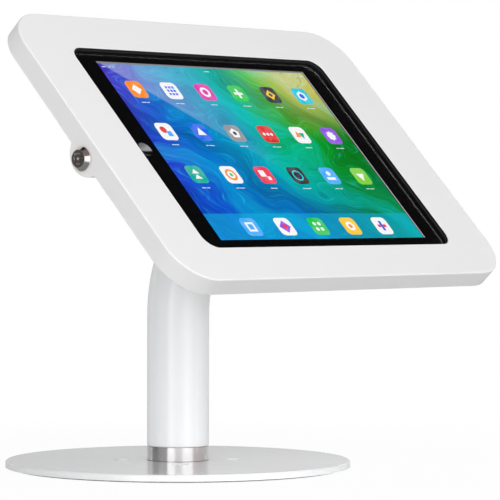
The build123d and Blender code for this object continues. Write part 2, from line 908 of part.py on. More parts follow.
def make_tablet_tray():
    tray = slab(tray_width, tray_height, tray_corner_radius, rim_top, tray_thickness)
    cut_bottom = rim_top - overrun
    cut_height = tray_thickness + 2 * overrun
    for row in (-1, 1):
        for column in (-1, 0, 1):
            hole_u = column * tray_hole_pitch_u_share * tray_width
            hole_v = row * tray_hole_pitch_v_share * tray_height / 2
            place = Pos(hole_u, hole_v, 0)
            tray -= place * disc(tray_hole_diameter, cut_bottom, cut_height)
    tray -= disc(tray_cable_hole_diameter, cut_bottom, cut_height)
    slot_u = -tablet_width / 2 - tray_slot_gap - tray_slot_width / 2
    slot_outline = Rot(0, 0, 90) * SlotOverall(tray_slot_length, tray_slot_width)
    tray -= extrude(Pos(slot_u, tablet_shift_v, cut_bottom) * slot_outline, amount=cut_height)
    hole = disc(small_screw_diameter + 2 * fit_clearance, cut_bottom, cut_height)
    for place in tray_screw_places():
        tray -= place * hole
    for corner, sign_u, sign_v in guide_places():
        tray -= corner * guide_boss_place(sign_u, sign_v) * hole
    return tray


def make_tray_screws():
    screw = button_screw(
        small_screw_diameter,
        small_screw_head_diameter,
        small_screw_head_height,
        tray_thickness + housing_thickness,
    )
    return [place * Pos(0, 0, tray_top) * screw for place in tray_screw_places()]


def make_corner_guides():
    # Two legs along the tablet's sides and a screw boss outside its corner
    guides = []
    for corner, sign_u, sign_v in guide_places():
        along_u = Box(guide_leg, guide_wall, guide_height, align=(Align.MAX, Align.MIN, Align.MIN))
        along_v = Box(guide_wall, guide_leg, guide_height, align=(Align.MIN, Align.MAX, Align.MIN))
        corner_post = disc(guide_boss_diameter, 0, guide_boss_height)
        guide = along_u + along_v + guide_boss_place(1, 1) * corner_post
        hole = disc(small_screw_diameter + 2 * fit_clearance, -overrun, guide_height + 2 * overrun)
        guide -= guide_boss_place(1, 1) * hole
        if sign_u < 0:
            guide = mirror(guide, Plane.YZ)
        if sign_v < 0:
            guide = mirror(guide, Plane.XZ)
        guides.append(corner * Pos(0, 0, tray_top) * guide)
    return guides


def make_guide_screws():
    screw = button_screw(
        small_screw_diameter,
        small_screw_head_diameter,
        small_screw_head_height,
        guide_boss_height + tray_thickness,
    )
    screws = []
    for corner, sign_u, sign_v in guide_places():
        boss = guide_boss_place(sign_u, sign_v)
        screws.append(corner * boss * Pos(0, 0, tray_top + guide_boss_height) * screw)
    return screws


def make_tablet_pads():
    pads = []
    for side_u in (-1, 1):
        for side_v in (-1, 1):
            u = side_u * (tablet_width / 2 - tablet_pad_inset - tablet_pad_length / 2)
            v = side_v * (tablet_height / 2 - tablet_pad_inset / 2 - tablet_pad_width / 2)
            outline = RectangleRounded(tablet_pad_length, tablet_pad_width, tablet_pad_thickness)
            place = Pos(u, v + tablet_shift_v, tray_top)
            pads.append(extrude(place * outline, amount=tablet_pad_thickness))
    return pads


# Tablet
def make_tablet_shell():
    # A pan with a bevelled back edge, a step for the glass and pockets for what it holds
    rim_level = glass_level - glass_proud
    shell = slab(
        tablet_width,
        tablet_height,
        tablet_corner_radius,
        tablet_back,
        rim_level - tablet_back,
        0,
        tablet_shift_v,
    )
    shell = chamfer(shell.edges().group_by(Axis.Z)[0], tablet_back_chamfer)
    glass_bottom = glass_level - glass_thickness
    frame_bottom = glass_bottom - frame_thickness
    shell -= slab(
        glass_width + 2 * glass_clearance,
        glass_height + 2 * glass_clearance,
        glass_corner_radius + glass_clearance,
        frame_bottom,
        glass_recess,
        0,
        tablet_shift_v,
    )
    pocket_width = screen_width + 2 * display_overlap + 2 * glass_clearance
    pocket_height = screen_height + 2 * display_overlap + 2 * glass_clearance
    pocket_bottom = frame_bottom - display_thickness
    shell -= slab(
        pocket_width, pocket_height, display_overlap, pocket_bottom, glass_recess, 0, tablet_shift_v
    )
    home_pocket = home_diameter + 4 * home_clearance
    home_floor = glass_level - home_sink - home_height - home_travel
    shell -= home_place() * disc(home_pocket, home_floor, glass_recess)
    shell -= front_lens_place() * disc(
        front_lens_diameter + 2 * fit_clearance, glass_bottom - front_lens_height, glass_recess
    )
    shell -= rear_lens_place() * disc(
        rear_lens_diameter + 2 * fit_clearance, tablet_back - overrun, rear_lens_depth + overrun
    )
    for place in side_button_places():
        pocket = Box(
            button_length + 2 * button_clearance,
            2 * (button_depth + button_travel),
            button_width + 2 * button_clearance,
        )
        shell -= place * pocket
    dock_level = (tablet_back + rim_level) / 2
    shell -= Pos(-tablet_width / 2, tablet_shift_v, dock_level) * Box(
        2 * dock_depth, dock_width, dock_height
    )
    return shell


def home_place():
    return Pos(-home_offset, tablet_shift_v, 0)


def front_lens_place():
    return Pos(home_offset, tablet_shift_v, 0)


def rear_lens_place():
    bottom_edge = tablet_shift_v - tablet_height / 2
    return Pos(tablet_width / 2 - rear_lens_from_side, bottom_edge + rear_lens_from_bottom, 0)


def side_button_places():
    # Each place has its own +Y pointing out of the tablet's edge
    level = (tablet_back + glass_level) / 2
    power_v = tablet_shift_v - tablet_height / 2 + power_button_from_corner
    power = Pos(tablet_width / 2, power_v, level) * Rot(0, 0, -90)
    edge_v = tablet_shift_v - tablet_height / 2
    first_u = tablet_width / 2 - volume_button_from_corner
    first = Pos(first_u, edge_v, level) * Rot(0, 0, 180)
    second = Pos(first_u - volume_button_pitch, edge_v, level) * Rot(0, 0, 180)
    return [power, first, second]


def make_side_button(place):
    button = Box(
        button_length,
        button_depth + button_proud,
        button_width,
        align=(Align.CENTER, Align.MAX, Align.CENTER),
    )
    button = Pos(0, button_proud, 0) * button
    button = fillet(button.edges().filter_by(Axis.Y), button_width / 3)
    return place * button


def make_tablet_glass():
    bottom = glass_level - glass_thickness
    glass = slab(
        glass_width, glass_height, glass_corner_radius, bottom, glass_thickness, 0, tablet_shift_v
    )
    hole = disc(home_diameter + 2 * home_clearance, bottom - overrun, glass_thickness + 2 * overrun)
    return glass - home_place() * hole


def make_screen_frame():
    # The black surround that shows through the glass
    bottom = glass_level - glass_thickness - frame_thickness
    cut_bottom = bottom - overrun
    cut_height = frame_thickness + 2 * overrun
    frame = slab(
        glass_width - frame_margin,
        glass_height - frame_margin,
        glass_corner_radius,
        bottom,
        frame_thickness,
        0,
        tablet_shift_v,
    )
    frame -= block(
        -screen_width / 2,
        screen_width / 2,
        tablet_shift_v - screen_height / 2,
        tablet_shift_v + screen_height / 2,
        cut_bottom,
        cut_bottom + cut_height,
    )
    frame -= home_place() * disc(home_diameter + 2 * home_clearance, cut_bottom, cut_height)
    frame -= front_lens_place() * disc(front_lens_diameter, cut_bottom, cut_height)
    return frame


def make_display_panel():
    top = glass_level - glass_thickness - frame_thickness
    return slab(
        screen_width + 2 * display_overlap,
        screen_height + 2 * display_overlap,
        display_overlap - glass_clearance,
        top - display_thickness,
        display_thickness,
        0,
        tablet_shift_v,
    )


def make_home_button():
    top = glass_level - home_sink
    button = disc(home_diameter, top - home_height, home_height)
    half = home_diameter / 2 - home_clearance
    dish_radius = (half**2 + home_dish_depth**2) / (2 * home_dish_depth)
    dish = Pos(0, 0, top + dish_radius - home_dish_depth) * Sphere(dish_radius)
    return home_place() * (button - dish)


def make_front_lens():
    top = glass_level - glass_thickness
    lens = disc(front_lens_diameter - 2 * fit_clearance, top - front_lens_height, front_lens_height)
    return front_lens_place() * lens


def make_rear_lens():
    return rear_lens_place() * disc(rear_lens_diameter, tablet_back, rear_lens_depth)


# Every node by name, in the stand's frame
stand_nodes = {
    "base_plate": make_base_plate(),
    "base_pad": make_base_pad(),
    "base_screws": make_base_screws(),
    "swivel_spigot": make_swivel_spigot(),
    "thrust_washer": make_thrust_washer(),
    "column_tube": make_column_tube(),
    "swivel_bush": make_swivel_bush(),
    "stop_screw": make_stop_screw(),
    "cable_grommet": make_cable_grommet(),
}

power_place, volume_up_place, volume_down_place = side_button_places()
head_nodes = {
    "head_flange": make_head_flange(),
    "head_stop_pin": make_head_stop_pin(),
    "friction_washer": make_friction_washer(),
    "pivot_retainer": make_retainer(),
    "retainer_screws": make_retainer_screws(),
    "front_cover": make_front_cover(),
    "window_seal": make_window_seal(),
    "rear_housing": make_rear_housing(),
    "lock_shroud": make_lock_shroud(),
    "lock_body": make_lock_body(),
    "lock_plug": make_lock_plug(),
    "lock_cam": make_lock_cam(),
    "cam_screw": make_cam_screw(),
    "lock_washer": make_lock_washer(),
    "lock_nut": make_lock_nut(),
    "latch_keeper": make_latch_keeper(),
    "keeper_screw": make_keeper_screw(),
    "tablet_tray": make_tablet_tray(),
    "tray_screws": make_tray_screws(),
    "corner_guides": make_corner_guides(),
    "guide_screws": make_guide_screws(),
    "tablet_pads": make_tablet_pads(),
    "tablet_shell": make_tablet_shell(),
    "tablet_glass": make_tablet_glass(),
    "screen_frame": make_screen_frame(),
    "display_panel": make_display_panel(),
    "home_button": make_home_button(),
    "front_lens": make_front_lens(),
    "rear_lens": make_rear_lens(),
    "power_button": make_side_button(power_place),
    "volume_up_button": make_side_button(volume_up_place),
    "volume_down_button": make_side_button(volume_down_place),
}


def write_node(name, shape, place):
    solids = shape if isinstance(shape, list) else [shape]
    placed = [place * solid for solid in solids]
    whole = placed[0] if len(placed) == 1 else Compound(children=placed)
    export_step(whole, os.path.join("parts", name + ".step"))


os.makedirs("parts", exist_ok=True)
for node_name, node_shape in stand_nodes.items():
    write_node(node_name, node_shape, Location((0, 0, 0)))
for node_name, node_shape in head_nodes.items():
    write_node(node_name, node_shape, head_place)
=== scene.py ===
import json
import math
import bpy
from mathutils import Matrix, Vector


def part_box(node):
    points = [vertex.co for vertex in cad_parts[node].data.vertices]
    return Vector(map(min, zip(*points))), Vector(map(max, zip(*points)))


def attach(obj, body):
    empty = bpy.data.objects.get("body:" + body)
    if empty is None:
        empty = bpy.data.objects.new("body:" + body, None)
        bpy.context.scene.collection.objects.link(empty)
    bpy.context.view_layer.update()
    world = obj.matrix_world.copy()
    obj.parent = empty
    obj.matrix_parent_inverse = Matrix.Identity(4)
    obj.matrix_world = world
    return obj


# A white tablet kiosk stand: finishes for its parts, the picture on the screen, small
# details, and a plain pale studio. Lengths are metres.

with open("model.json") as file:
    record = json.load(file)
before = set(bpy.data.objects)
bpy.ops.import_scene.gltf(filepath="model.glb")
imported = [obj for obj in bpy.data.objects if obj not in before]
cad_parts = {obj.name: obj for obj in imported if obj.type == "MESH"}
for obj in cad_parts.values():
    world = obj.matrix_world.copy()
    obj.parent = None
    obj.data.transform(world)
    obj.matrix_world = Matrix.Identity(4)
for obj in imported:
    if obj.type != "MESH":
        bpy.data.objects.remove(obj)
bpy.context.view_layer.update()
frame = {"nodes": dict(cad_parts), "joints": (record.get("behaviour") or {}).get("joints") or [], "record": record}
nodes = frame["nodes"]
bpy.ops.object.select_all(action="DESELECT")
print("frame loaded:", len(nodes), "nodes")


def jointNamed(name):
    return next(joint for joint in frame["joints"] if joint["name"] == name)


# Three directions of the tilted head: right along the screen, up the screen, out of it
headTurn = jointNamed("head_turn")
headCentre = Vector(headTurn["pos_m"])
screenOut = Vector(headTurn["axis"]).normalized()
screenRight = Vector((1, 0, 0))
screenUp = screenOut.cross(screenRight)
headMatrix = Matrix((screenRight, screenUp, screenOut)).transposed().to_4x4()
headMatrix.translation = headCentre
headTilt = math.atan2(-screenOut.y, screenOut.z)

# How a screen's levels turn into light: straight up to the knee, then a power curve
screenCurve = {"levels": 255, "knee": 0.04045, "slope": 12.92, "offset": 0.055, "power": 2.4}


def tone(red, green, blue):
    # A colour as a screen shows it, 0 to 255, turned into the shader's linear colour
    curve = screenCurve
    linear = []
    for value in (red, green, blue):
        share = value / curve["levels"]
        if share <= curve["knee"]:
            linear.append(share / curve["slope"])
        else:
            linear.append(((share + curve["offset"]) / (1 + curve["offset"])) ** curve["power"])
    return (*linear, 1)


def frontLevel(node):
    # How far out of the head's centre a node's front face lies
    return max(screenOut.dot(vertex.co - headCentre) for vertex in nodes[node].data.vertices)


# Node helpers
def feed(tree, socket, value):
    # Links a socket to another one, or sets its number, colour or vector
    if isinstance(value, bpy.types.NodeSocket):
        tree.links.new(value, socket)
    else:
        socket.default_value = value


def addNode(tree, kind, inputs=None, **settings):
    node = tree.nodes.new(kind)
    for name, value in settings.items():
        setattr(node, name, value)
    for name, value in (inputs or {}).items():
        feed(tree, node.inputs[name], value)
    return node


def addMath(tree, operation, *values):
    node = tree.nodes.new("ShaderNodeMath")
    node.operation = operation
    for socket, value in zip(node.inputs, values):
        feed(tree, socket, value)
    return node.outputs[0]


# The colour sockets of a Mix node, which has a set for each kind of value
mixSockets = {"factor": 0, "first": 6, "second": 7, "result": 2}


def addMix(tree, amount, first, second, blend="MIX"):
    node = tree.nodes.new("ShaderNodeMix")
    node.data_type = "RGBA"
    node.blend_type = blend
    feed(tree, node.inputs[mixSockets["factor"]], amount)
    feed(tree, node.inputs[mixSockets["first"]], first)
    feed(tree, node.inputs[mixSockets["second"]], second)
    return node.outputs[mixSockets["result"]]


def addRange(tree, value, fromLow, fromHigh, toLow=0.0, toHigh=1.0, smooth=False):
    node = tree.nodes.new("ShaderNodeMapRange")
    node.interpolation_type = "SMOOTHSTEP" if smooth else "LINEAR"
    feed(tree, node.inputs["Value"], value)
    for name, number in (
        ("From Min", fromLow), ("From Max", fromHigh), ("To Min", toLow), ("To Max", toHigh)
    ):
        node.inputs[name].default_value = number
    return node.outputs["Result"]


def addRamp(tree, value, stops):
    node = addNode(tree, "ShaderNodeValToRGB", {"Fac": value})
    elements = node.color_ramp.elements
    while len(elements) < len(stops):
        elements.new(0.5)
    for element, (place, colour) in zip(elements, stops):
        element.position = place
        element.color = colour
    return node.outputs["Color"]


def addNoise(tree, vector, scale, detail=2.0, roughness=0.5):
    node = addNode(
        tree, "ShaderNodeTexNoise",
        {"Vector": vector, "Scale": scale, "Detail": detail, "Roughness": roughness},
    )
    return node.outputs["Fac"]


def addSwing(tree, value, share):
    # How far a noise lies from its middle, times a share
    return addMath(tree, "MULTIPLY", addMath(tree, "SUBTRACT", value, 0.5), share)


def addGrey(tree, level):
    node = addNode(tree, "ShaderNodeCombineColor", {"Red": level, "Green": level, "Blue": level})
    return node.outputs[0]


def newGroup(name, inputs, outputs):
    # A shader node group with named inputs and outputs
    group = bpy.data.node_groups.new(name, "ShaderNodeTree")
    for label, kind, value in inputs:
        socket = group.interface.new_socket(name=label, in_out="INPUT", socket_type=kind)
        socket.default_value = value
    for label, kind in outputs:
        group.interface.new_socket(name=label, in_out="OUTPUT", socket_type=kind)
    entry = group.nodes.new("NodeGroupInput")
    leave = group.nodes.new("NodeGroupOutput")
    return group, entry.outputs, leave.inputs


def useGroup(tree, group, values):
    node = tree.nodes.new("ShaderNodeGroup")
    node.node_tree = group
    for name, value in values.items():
        feed(tree, node.inputs[name], value)
    return node.outputs


def objectCoordinates(tree):
    return addNode(tree, "ShaderNodeTexCoord").outputs["Object"]


def onScreen(tree, middle, size):
    # Coordinates on axes that lie in the screen's plane, from -1 to 1 across a size about a middle
    mapping = addNode(
        tree, "ShaderNodeMapping", {"Vector": objectCoordinates(tree)}, vector_type="TEXTURE"
    )
    mapping.inputs["Location"].default_value = middle
    mapping.inputs["Rotation"].default_value = (headTilt, 0, 0)
    mapping.inputs["Scale"].default_value = size
    return mapping.outputs["Vector"]


def newFinish(name, plain):
    # A material with a Principled shader, and the values that are the same all over
    material = bpy.data.materials.new(name)
    material.use_nodes = True
    tree = material.node_tree
    shader = tree.nodes["Principled BSDF"]
    for label, value in plain.items():
        shader.inputs[label].default_value = value
    return material, tree, shader


def addBump(tree, shader, height, strength, distance):
    bump = addNode(
        tree, "ShaderNodeBump", {"Height": height, "Strength": strength, "Distance": distance}
    )
    tree.links.new(bump.outputs["Normal"], shader.inputs["Normal"])


# Shared effects: the sizes and detail of the noises inside them
effectSettings = {
    "driftScale": 14.0, "driftDetail": 3.0, "peelDetail": 2.0, "grainDetail": 1.0,
    "lineDetail": 4.0, "lineRoughness": 0.65, "cloudScale": 60.0, "cloudDetail": 3.0,
}


def buildCoatEffect(settings):
    # Sprayed or powder paint: fine orange peel, a slow drift of tone, uneven gloss
    group, given, result = newGroup(
        "coatEffect",
        [
            ("Colour", "NodeSocketColor", (0.8, 0.8, 0.8, 1)),
            ("Drift", "NodeSocketFloat", 0.02),
            ("Peel Scale", "NodeSocketFloat", 900.0),
            ("Grain Scale", "NodeSocketFloat", 4000.0),
            ("Grain Share", "NodeSocketFloat", 0.3),
            ("Roughness", "NodeSocketFloat", 0.4),
            ("Gloss Spread", "NodeSocketFloat", 0.04),
        ],
        [
            ("Colour", "NodeSocketColor"),
            ("Roughness", "NodeSocketFloat"),
            ("Height", "NodeSocketFloat"),
        ],
    )
    place = objectCoordinates(group)
    broad = addNoise(group, place, settings["driftScale"], settings["driftDetail"])
    peel = addNoise(group, place, given["Peel Scale"], settings["peelDetail"])
    grain = addNoise(group, place, given["Grain Scale"], settings["grainDetail"])
    darker = addMath(group, "SUBTRACT", 1.0, addMath(group, "MULTIPLY", broad, given["Drift"]))
    coloured = addMix(group, 1.0, given["Colour"], addGrey(group, darker), "MULTIPLY")
    group.links.new(coloured, result["Colour"])
    swing = addSwing(group, broad, given["Gloss Spread"])
    fine = addSwing(group, peel, given["Gloss Spread"])
    gloss = addMath(group, "ADD", given["Roughness"], addMath(group, "ADD", swing, fine))
    group.links.new(gloss, result["Roughness"])
    rest = addMath(group, "MULTIPLY", peel, addMath(group, "SUBTRACT", 1.0, given["Grain Share"]))
    height = addMath(group, "ADD", rest, addMath(group, "MULTIPLY", grain, given["Grain Share"]))
    group.links.new(height, result["Height"])
    return group


def buildTurnedEffect(settings):
    # Fine tool lines that run round or along a metal piece: Stretch squeezes them one way
    group, given, result = newGroup(
        "turnedEffect",
        [
            ("Stretch", "NodeSocketVector", (1.0, 1.0, 60.0)),
            ("Scale", "NodeSocketFloat", 120.0),
            ("Colour", "NodeSocketColor", (0.6, 0.6, 0.6, 1)),
            ("Contrast", "NodeSocketFloat", 0.15),
            ("Roughness", "NodeSocketFloat", 0.25),
            ("Gloss Spread", "NodeSocketFloat", 0.1),
        ],
        [
            ("Colour", "NodeSocketColor"),
            ("Roughness", "NodeSocketFloat"),
            ("Height", "NodeSocketFloat"),
        ],
    )
    stretched = addNode(
        group, "ShaderNodeVectorMath", {0: objectCoordinates(group), 1: given["Stretch"]},
        operation="MULTIPLY",
    )
    lines = addNoise(
        group, stretched.outputs[0], given["Scale"], settings["lineDetail"],
        settings["lineRoughness"],
    )
    level = addMath(group, "ADD", 1.0, addSwing(group, lines, given["Contrast"]))
    coloured = addMix(group, 1.0, given["Colour"], addGrey(group, level), "MULTIPLY")
    group.links.new(coloured, result["Colour"])
    swing = addSwing(group, lines, given["Gloss Spread"])
    group.links.new(addMath(group, "ADD", given["Roughness"], swing), result["Roughness"])
    group.links.new(lines, result["Height"])
    return group


def buildMouldedEffect(settings):
    # Fine spark grain of moulded plastic, rubber or foam, with a faint dusty bloom
    group, given, result = newGroup(
        "mouldedEffect",
        [
            ("Colour", "NodeSocketColor", (0.02, 0.02, 0.02, 1)),
            ("Bloom", "NodeSocketColor", (0.06, 0.06, 0.06, 1)),
            ("Bloom Share", "NodeSocketFloat", 0.3),
            ("Grain Scale", "NodeSocketFloat", 3000.0),
            ("Roughness", "NodeSocketFloat", 0.5),
            ("Gloss Spread", "NodeSocketFloat", 0.1),
        ],
        [
            ("Colour", "NodeSocketColor"),
            ("Roughness", "NodeSocketFloat"),
            ("Height", "NodeSocketFloat"),
        ],
    )
    place = objectCoordinates(group)
    grain = addNoise(group, place, given["Grain Scale"], settings["grainDetail"])
    cloud = addNoise(group, place, settings["cloudScale"], settings["cloudDetail"])
    dusty = addMath(group, "MULTIPLY", cloud, given["Bloom Share"])
    group.links.new(addMix(group, dusty, given["Colour"], given["Bloom"]), result["Colour"])
    swing = addSwing(group, cloud, given["Gloss Spread"])
    group.links.new(addMath(group, "ADD", given["Roughness"], swing), result["Roughness"])
    group.links.new(grain, result["Height"])
    return group


coatEffect = buildCoatEffect(effectSettings)
turnedEffect = buildTurnedEffect(effectSettings)
mouldedEffect = buildMouldedEffect(effectSettings)
print("shared effects built")

# Finishes that share one effect: the effect's values, the shader's plain values, the bump
paintFinishes = {
    "white_powder": {
        "effect": {
            "Colour": tone(237, 236, 236), "Drift": 0.025, "Peel Scale": 800.0,
            "Grain Scale": 2400.0, "Grain Share": 0.3, "Roughness": 0.42, "Gloss Spread": 0.06,
        },
        "plain": {"Specular IOR Level": 0.4},
        "bump": (0.06, 0.00008),
    },
    "white_enamel": {
        "effect": {
            "Colour": tone(249, 250, 251), "Drift": 0.02, "Peel Scale": 520.0,
            "Grain Scale": 2600.0, "Grain Share": 0.12, "Roughness": 0.09, "Gloss Spread": 0.04,
        },
        "plain": {"Specular IOR Level": 0.5, "Coat Roughness": 0.05, "Coat Weight": 0.25},
        "bump": (0.02, 0.00004),
    },
}
metalFinishes = {
    "polished_steel": {
        "effect": {
            "Colour": tone(232, 229, 230), "Stretch": (1.0, 1.0, 90.0), "Scale": 90.0,
            "Contrast": 0.1, "Roughness": 0.2, "Gloss Spread": 0.06,
        },
        "plain": {"Metallic": 1.0, "Anisotropic": 0.9, "Anisotropic Rotation": 0.25},
        "bump": (0.03, 0.00001),
    },
    "zinc_steel": {
        "effect": {
            "Colour": tone(186, 190, 196), "Stretch": (1.0, 7.0, 7.0), "Scale": 160.0,
            "Contrast": 0.3, "Roughness": 0.36, "Gloss Spread": 0.2,
        },
        "plain": {"Metallic": 1.0},
        "bump": (0.08, 0.00003),
    },
    "dark_nickel": {
        "effect": {
            "Colour": tone(236, 229, 226), "Stretch": (60.0, 1.0, 1.0), "Scale": 110.0,
            "Contrast": 0.25, "Roughness": 0.1, "Gloss Spread": 0.06,
        },
        "plain": {"Metallic": 1.0},
        "bump": (0.1, 0.00002),
    },
    "anodised_aluminium": {
        "effect": {
            "Colour": tone(190, 191, 195), "Stretch": (1.0, 1.0, 1.0), "Scale": 2600.0,
            "Contrast": 0.12, "Roughness": 0.4, "Gloss Spread": 0.06,
        },
        "plain": {"Metallic": 1.0},
        "bump": (0.12, 0.00002),
    },
}
mouldedFinishes = {
    "black_rubber": {
        "effect": {
            "Colour": tone(30, 30, 31), "Bloom": tone(56, 56, 58), "Bloom Share": 0.3,
            "Grain Scale": 2600.0, "Roughness": 0.46, "Gloss Spread": 0.12,
        },
        "plain": {"Specular IOR Level": 0.25},
        "bump": (0.12, 0.00004),
    },
    "pale_rubber": {
        "effect": {
            "Colour": tone(196, 196, 198), "Bloom": tone(168, 168, 170), "Bloom Share": 0.4,
            "Grain Scale": 2600.0, "Roughness": 0.6, "Gloss Spread": 0.1,
        },
        "plain": {"Specular IOR Level": 0.4},
        "bump": (0.25, 0.00006),
    },
    "grey_foam": {
        "effect": {
            "Colour": tone(70, 71, 74), "Bloom": tone(110, 110, 112), "Bloom Share": 0.5,
            "Grain Scale": 1500.0, "Roughness": 0.9, "Gloss Spread": 0.05,
        },
        "plain": {"Specular IOR Level": 0.2},
        "bump": (0.6, 0.0002),
    },
    "black_acetal": {
        "effect": {
            "Colour": tone(20, 20, 22), "Bloom": tone(52, 52, 54), "Bloom Share": 0.2,
            "Grain Scale": 3200.0, "Roughness": 0.38, "Gloss Spread": 0.08,
        },
        "plain": {"Specular IOR Level": 0.5},
        "bump": (0.12, 0.00004),
    },
    "white_acetal": {
        "effect": {
            "Colour": tone(232, 230, 224), "Bloom": tone(214, 210, 200), "Bloom Share": 0.3,
            "Grain Scale": 3200.0, "Roughness": 0.36, "Gloss Spread": 0.08,
        },
        "plain": {"Specular IOR Level": 0.5, "Subsurface Weight": 0.05},
        "bump": (0.12, 0.00004),
    },
    "black_frame": {
        "effect": {
            "Colour": tone(4, 4, 5), "Bloom": tone(9, 9, 10), "Bloom Share": 0.3,
            "Grain Scale": 5200.0, "Roughness": 0.22, "Gloss Spread": 0.06,
        },
        "plain": {"Specular IOR Level": 0.2},
        "bump": (0.04, 0.00002),
    },
    "lens_black": {
        "effect": {
            "Colour": tone(9, 9, 13), "Bloom": tone(26, 22, 40), "Bloom Share": 0.6,
            "Grain Scale": 400.0, "Roughness": 0.05, "Gloss Spread": 0.02,
        },
        "plain": {"Specular IOR Level": 0.6, "Coat Weight": 1.0},
        "bump": (0.01, 0.00001),
    },
}


def makeFinishes(effect, settings):
    made = {}
    for name, values in settings.items():
        material, tree, shader = newFinish(name, values["plain"])
        result = useGroup(tree, effect, values["effect"])
        tree.links.new(result["Colour"], shader.inputs["Base Color"])
        tree.links.new(result["Roughness"], shader.inputs["Roughness"])
        addBump(tree, shader, result["Height"], *values["bump"])
        made[name] = material
    return made


glassSettings = {
    "smearScale": 45.0, "smearDetail": 4.0, "smearRoughness": 0.6, "smearRange": (0.45, 0.75),
    "roughness": (0.0, 0.012), "ior": 1.5,
}


def makeCoverGlass(settings):
    # Clear glass with faint wiped smears in its gloss
    material, tree, shader = newFinish(
        "cover_glass",
        {
            "Base Color": (1, 1, 1, 1), "Transmission Weight": 1.0, "IOR": settings["ior"],
            "Metallic": 0.0,
        },
    )
    smear = addNoise(
        tree, objectCoordinates(tree), settings["smearScale"], settings["smearDetail"],
        settings["smearRoughness"],
    )
    gloss = addRange(tree, smear, *settings["smearRange"], *settings["roughness"], smooth=True)
    tree.links.new(gloss, shader.inputs["Roughness"])
    return material


# Reaches of the home button's tones, its painted highlight and its painted shade, as shares of its radius
homeSettings = {
    "plain": {"Specular IOR Level": 0.4, "Coat Weight": 0.4, "Coat Roughness": 0.08},
    "dark": tone(112, 112, 116), "paintedHighlightTone": tone(156, 156, 160), "rim": tone(14, 14, 16),
    "slant": -0.35, "paintedLitRange": (0.7, -0.1), "rimRange": (0.8, 0.96), "paintedShadeRange": (-0.2, -0.48),
    "grainScale": 5200.0, "grainDetail": 1.0, "grainRange": (0.3, 0.7), "roughness": (0.14, 0.24),
    "bump": (0.03, 0.00002),
}


def makeHomeButton(settings):
    # A shallow dish with a painted highlight across it, and painted shade along its lower edge and round its rim
    material, tree, shader = newFinish("grey_button", settings["plain"])
    low, high = (Vector(corner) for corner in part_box("home_button"))
    radius = (high.x - low.x) / 2
    place = onScreen(tree, (low + high) / 2, (radius, radius, radius))
    parts = addNode(tree, "ShaderNodeSeparateXYZ", {0: place}).outputs
    slope = addMath(tree, "MULTIPLY_ADD", parts["X"], settings["slant"], parts["Y"])
    # Painted highlight: the dish turns from its darker tone to a pale one where it would catch the light
    lit = addRange(tree, slope, *settings["paintedLitRange"], smooth=True)
    paintedDishLight = addMix(tree, lit, settings["dark"], settings["paintedHighlightTone"])
    flat = addNode(tree, "ShaderNodeCombineXYZ", {"X": parts["X"], "Y": parts["Y"]})
    reach = addNode(
        tree, "ShaderNodeVectorMath", {0: flat.outputs[0]}, operation="LENGTH"
    ).outputs["Value"]
    # Painted shade round the rim and along the lower edge
    rim = addRange(tree, reach, *settings["rimRange"], smooth=True)
    paintedShade = addRange(tree, parts["Y"], *settings["paintedShadeRange"], smooth=True)
    edge = addMath(tree, "MAXIMUM", rim, paintedShade)
    tree.links.new(addMix(tree, edge, paintedDishLight, settings["rim"]), shader.inputs["Base Color"])
    grain = addNoise(tree, objectCoordinates(tree), settings["grainScale"], settings["grainDetail"])
    gloss = addRange(tree, grain, *settings["grainRange"], *settings["roughness"])
    tree.links.new(gloss, shader.inputs["Roughness"])
    addBump(tree, shader, grain, *settings["bump"])
    return material


# The screen's picture, on axes that run from -1 to 1 across the lit part and up it. Each of its
# three levels has tones by their place across. A range says where an effect starts and where it
# is full, and a longer one then gives its least and greatest share
wallpaperSettings = {
    "top": (
        (0.0, tone(84, 62, 206)), (0.14, tone(46, 84, 206)), (0.3, tone(0, 140, 196)),
        (0.52, tone(8, 188, 172)), (0.7, tone(96, 196, 84)), (0.86, tone(204, 200, 92)),
    ),
    "middle": (
        (0.0, tone(40, 60, 206)), (0.2, tone(0, 112, 206)), (0.45, tone(0, 164, 196)),
        (0.58, tone(0, 176, 120)), (0.72, tone(0, 158, 34)), (1.0, tone(0, 140, 20)),
    ),
    "bottom": (
        (0.0, tone(10, 74, 214)), (0.3, tone(0, 96, 184)), (0.5, tone(0, 112, 190)),
        (0.68, tone(0, 128, 140)), (0.84, tone(0, 124, 60)), (1.0, tone(0, 140, 80)),
    ),
    "topRange": (0.1, 0.9), "bottomRange": (0.1, -0.8),
    "driftScale": 1.1, "driftShare": 0.4, "foldSlope": 0.8, "foldBend": 2.6, "foldPitch": 5.0,
    "brightRange": (0.35, 1.0, 0.0, 0.22), "brightTone": tone(0, 214, 226),
    "deepRange": (-0.3, -1.0, 0.0, 0.3), "deepTone": tone(0, 84, 130),
    "strandStretch": (38.0, 5.0, 12.0), "strandDetail": 4.0, "strandRoughness": 0.6,
    "lightRange": (0.5, 0.78, 0.0, 0.3), "lightTone": tone(40, 236, 224),
    "darkRange": (0.48, 0.26, 0.0, 0.32), "darkTone": tone(0, 96, 110),
}
pictureSettings = {
    "plain": {"Base Color": (0.004, 0.004, 0.005, 1), "Roughness": 0.2, "Specular IOR Level": 0.05},
    "halfWidth": 0.09855, "halfHeight": 0.075, "drop": 0.001, "stripHeight": 0.0014,
    "sideLine": 0.0008, "statusUp": 0.0695, "dockTop": -0.0545, "glowStrength": 1.18,
    # The wedge's slant and range, and the fade across, shape the painted glare on the upper left
    "glareSlope": 1.15, "glareRange": (-0.16, -0.12), "fadeRange": (-1.0, 0.15, 0.2, 0.0),
    "dockSoftness": 0.004, "dockShare": 0.4, "dockTone": tone(20, 190, 236),
    "stripTone": tone(138, 136, 140), "darkLineTone": tone(18, 24, 30),
    "paleLineTone": tone(196, 186, 196),
}


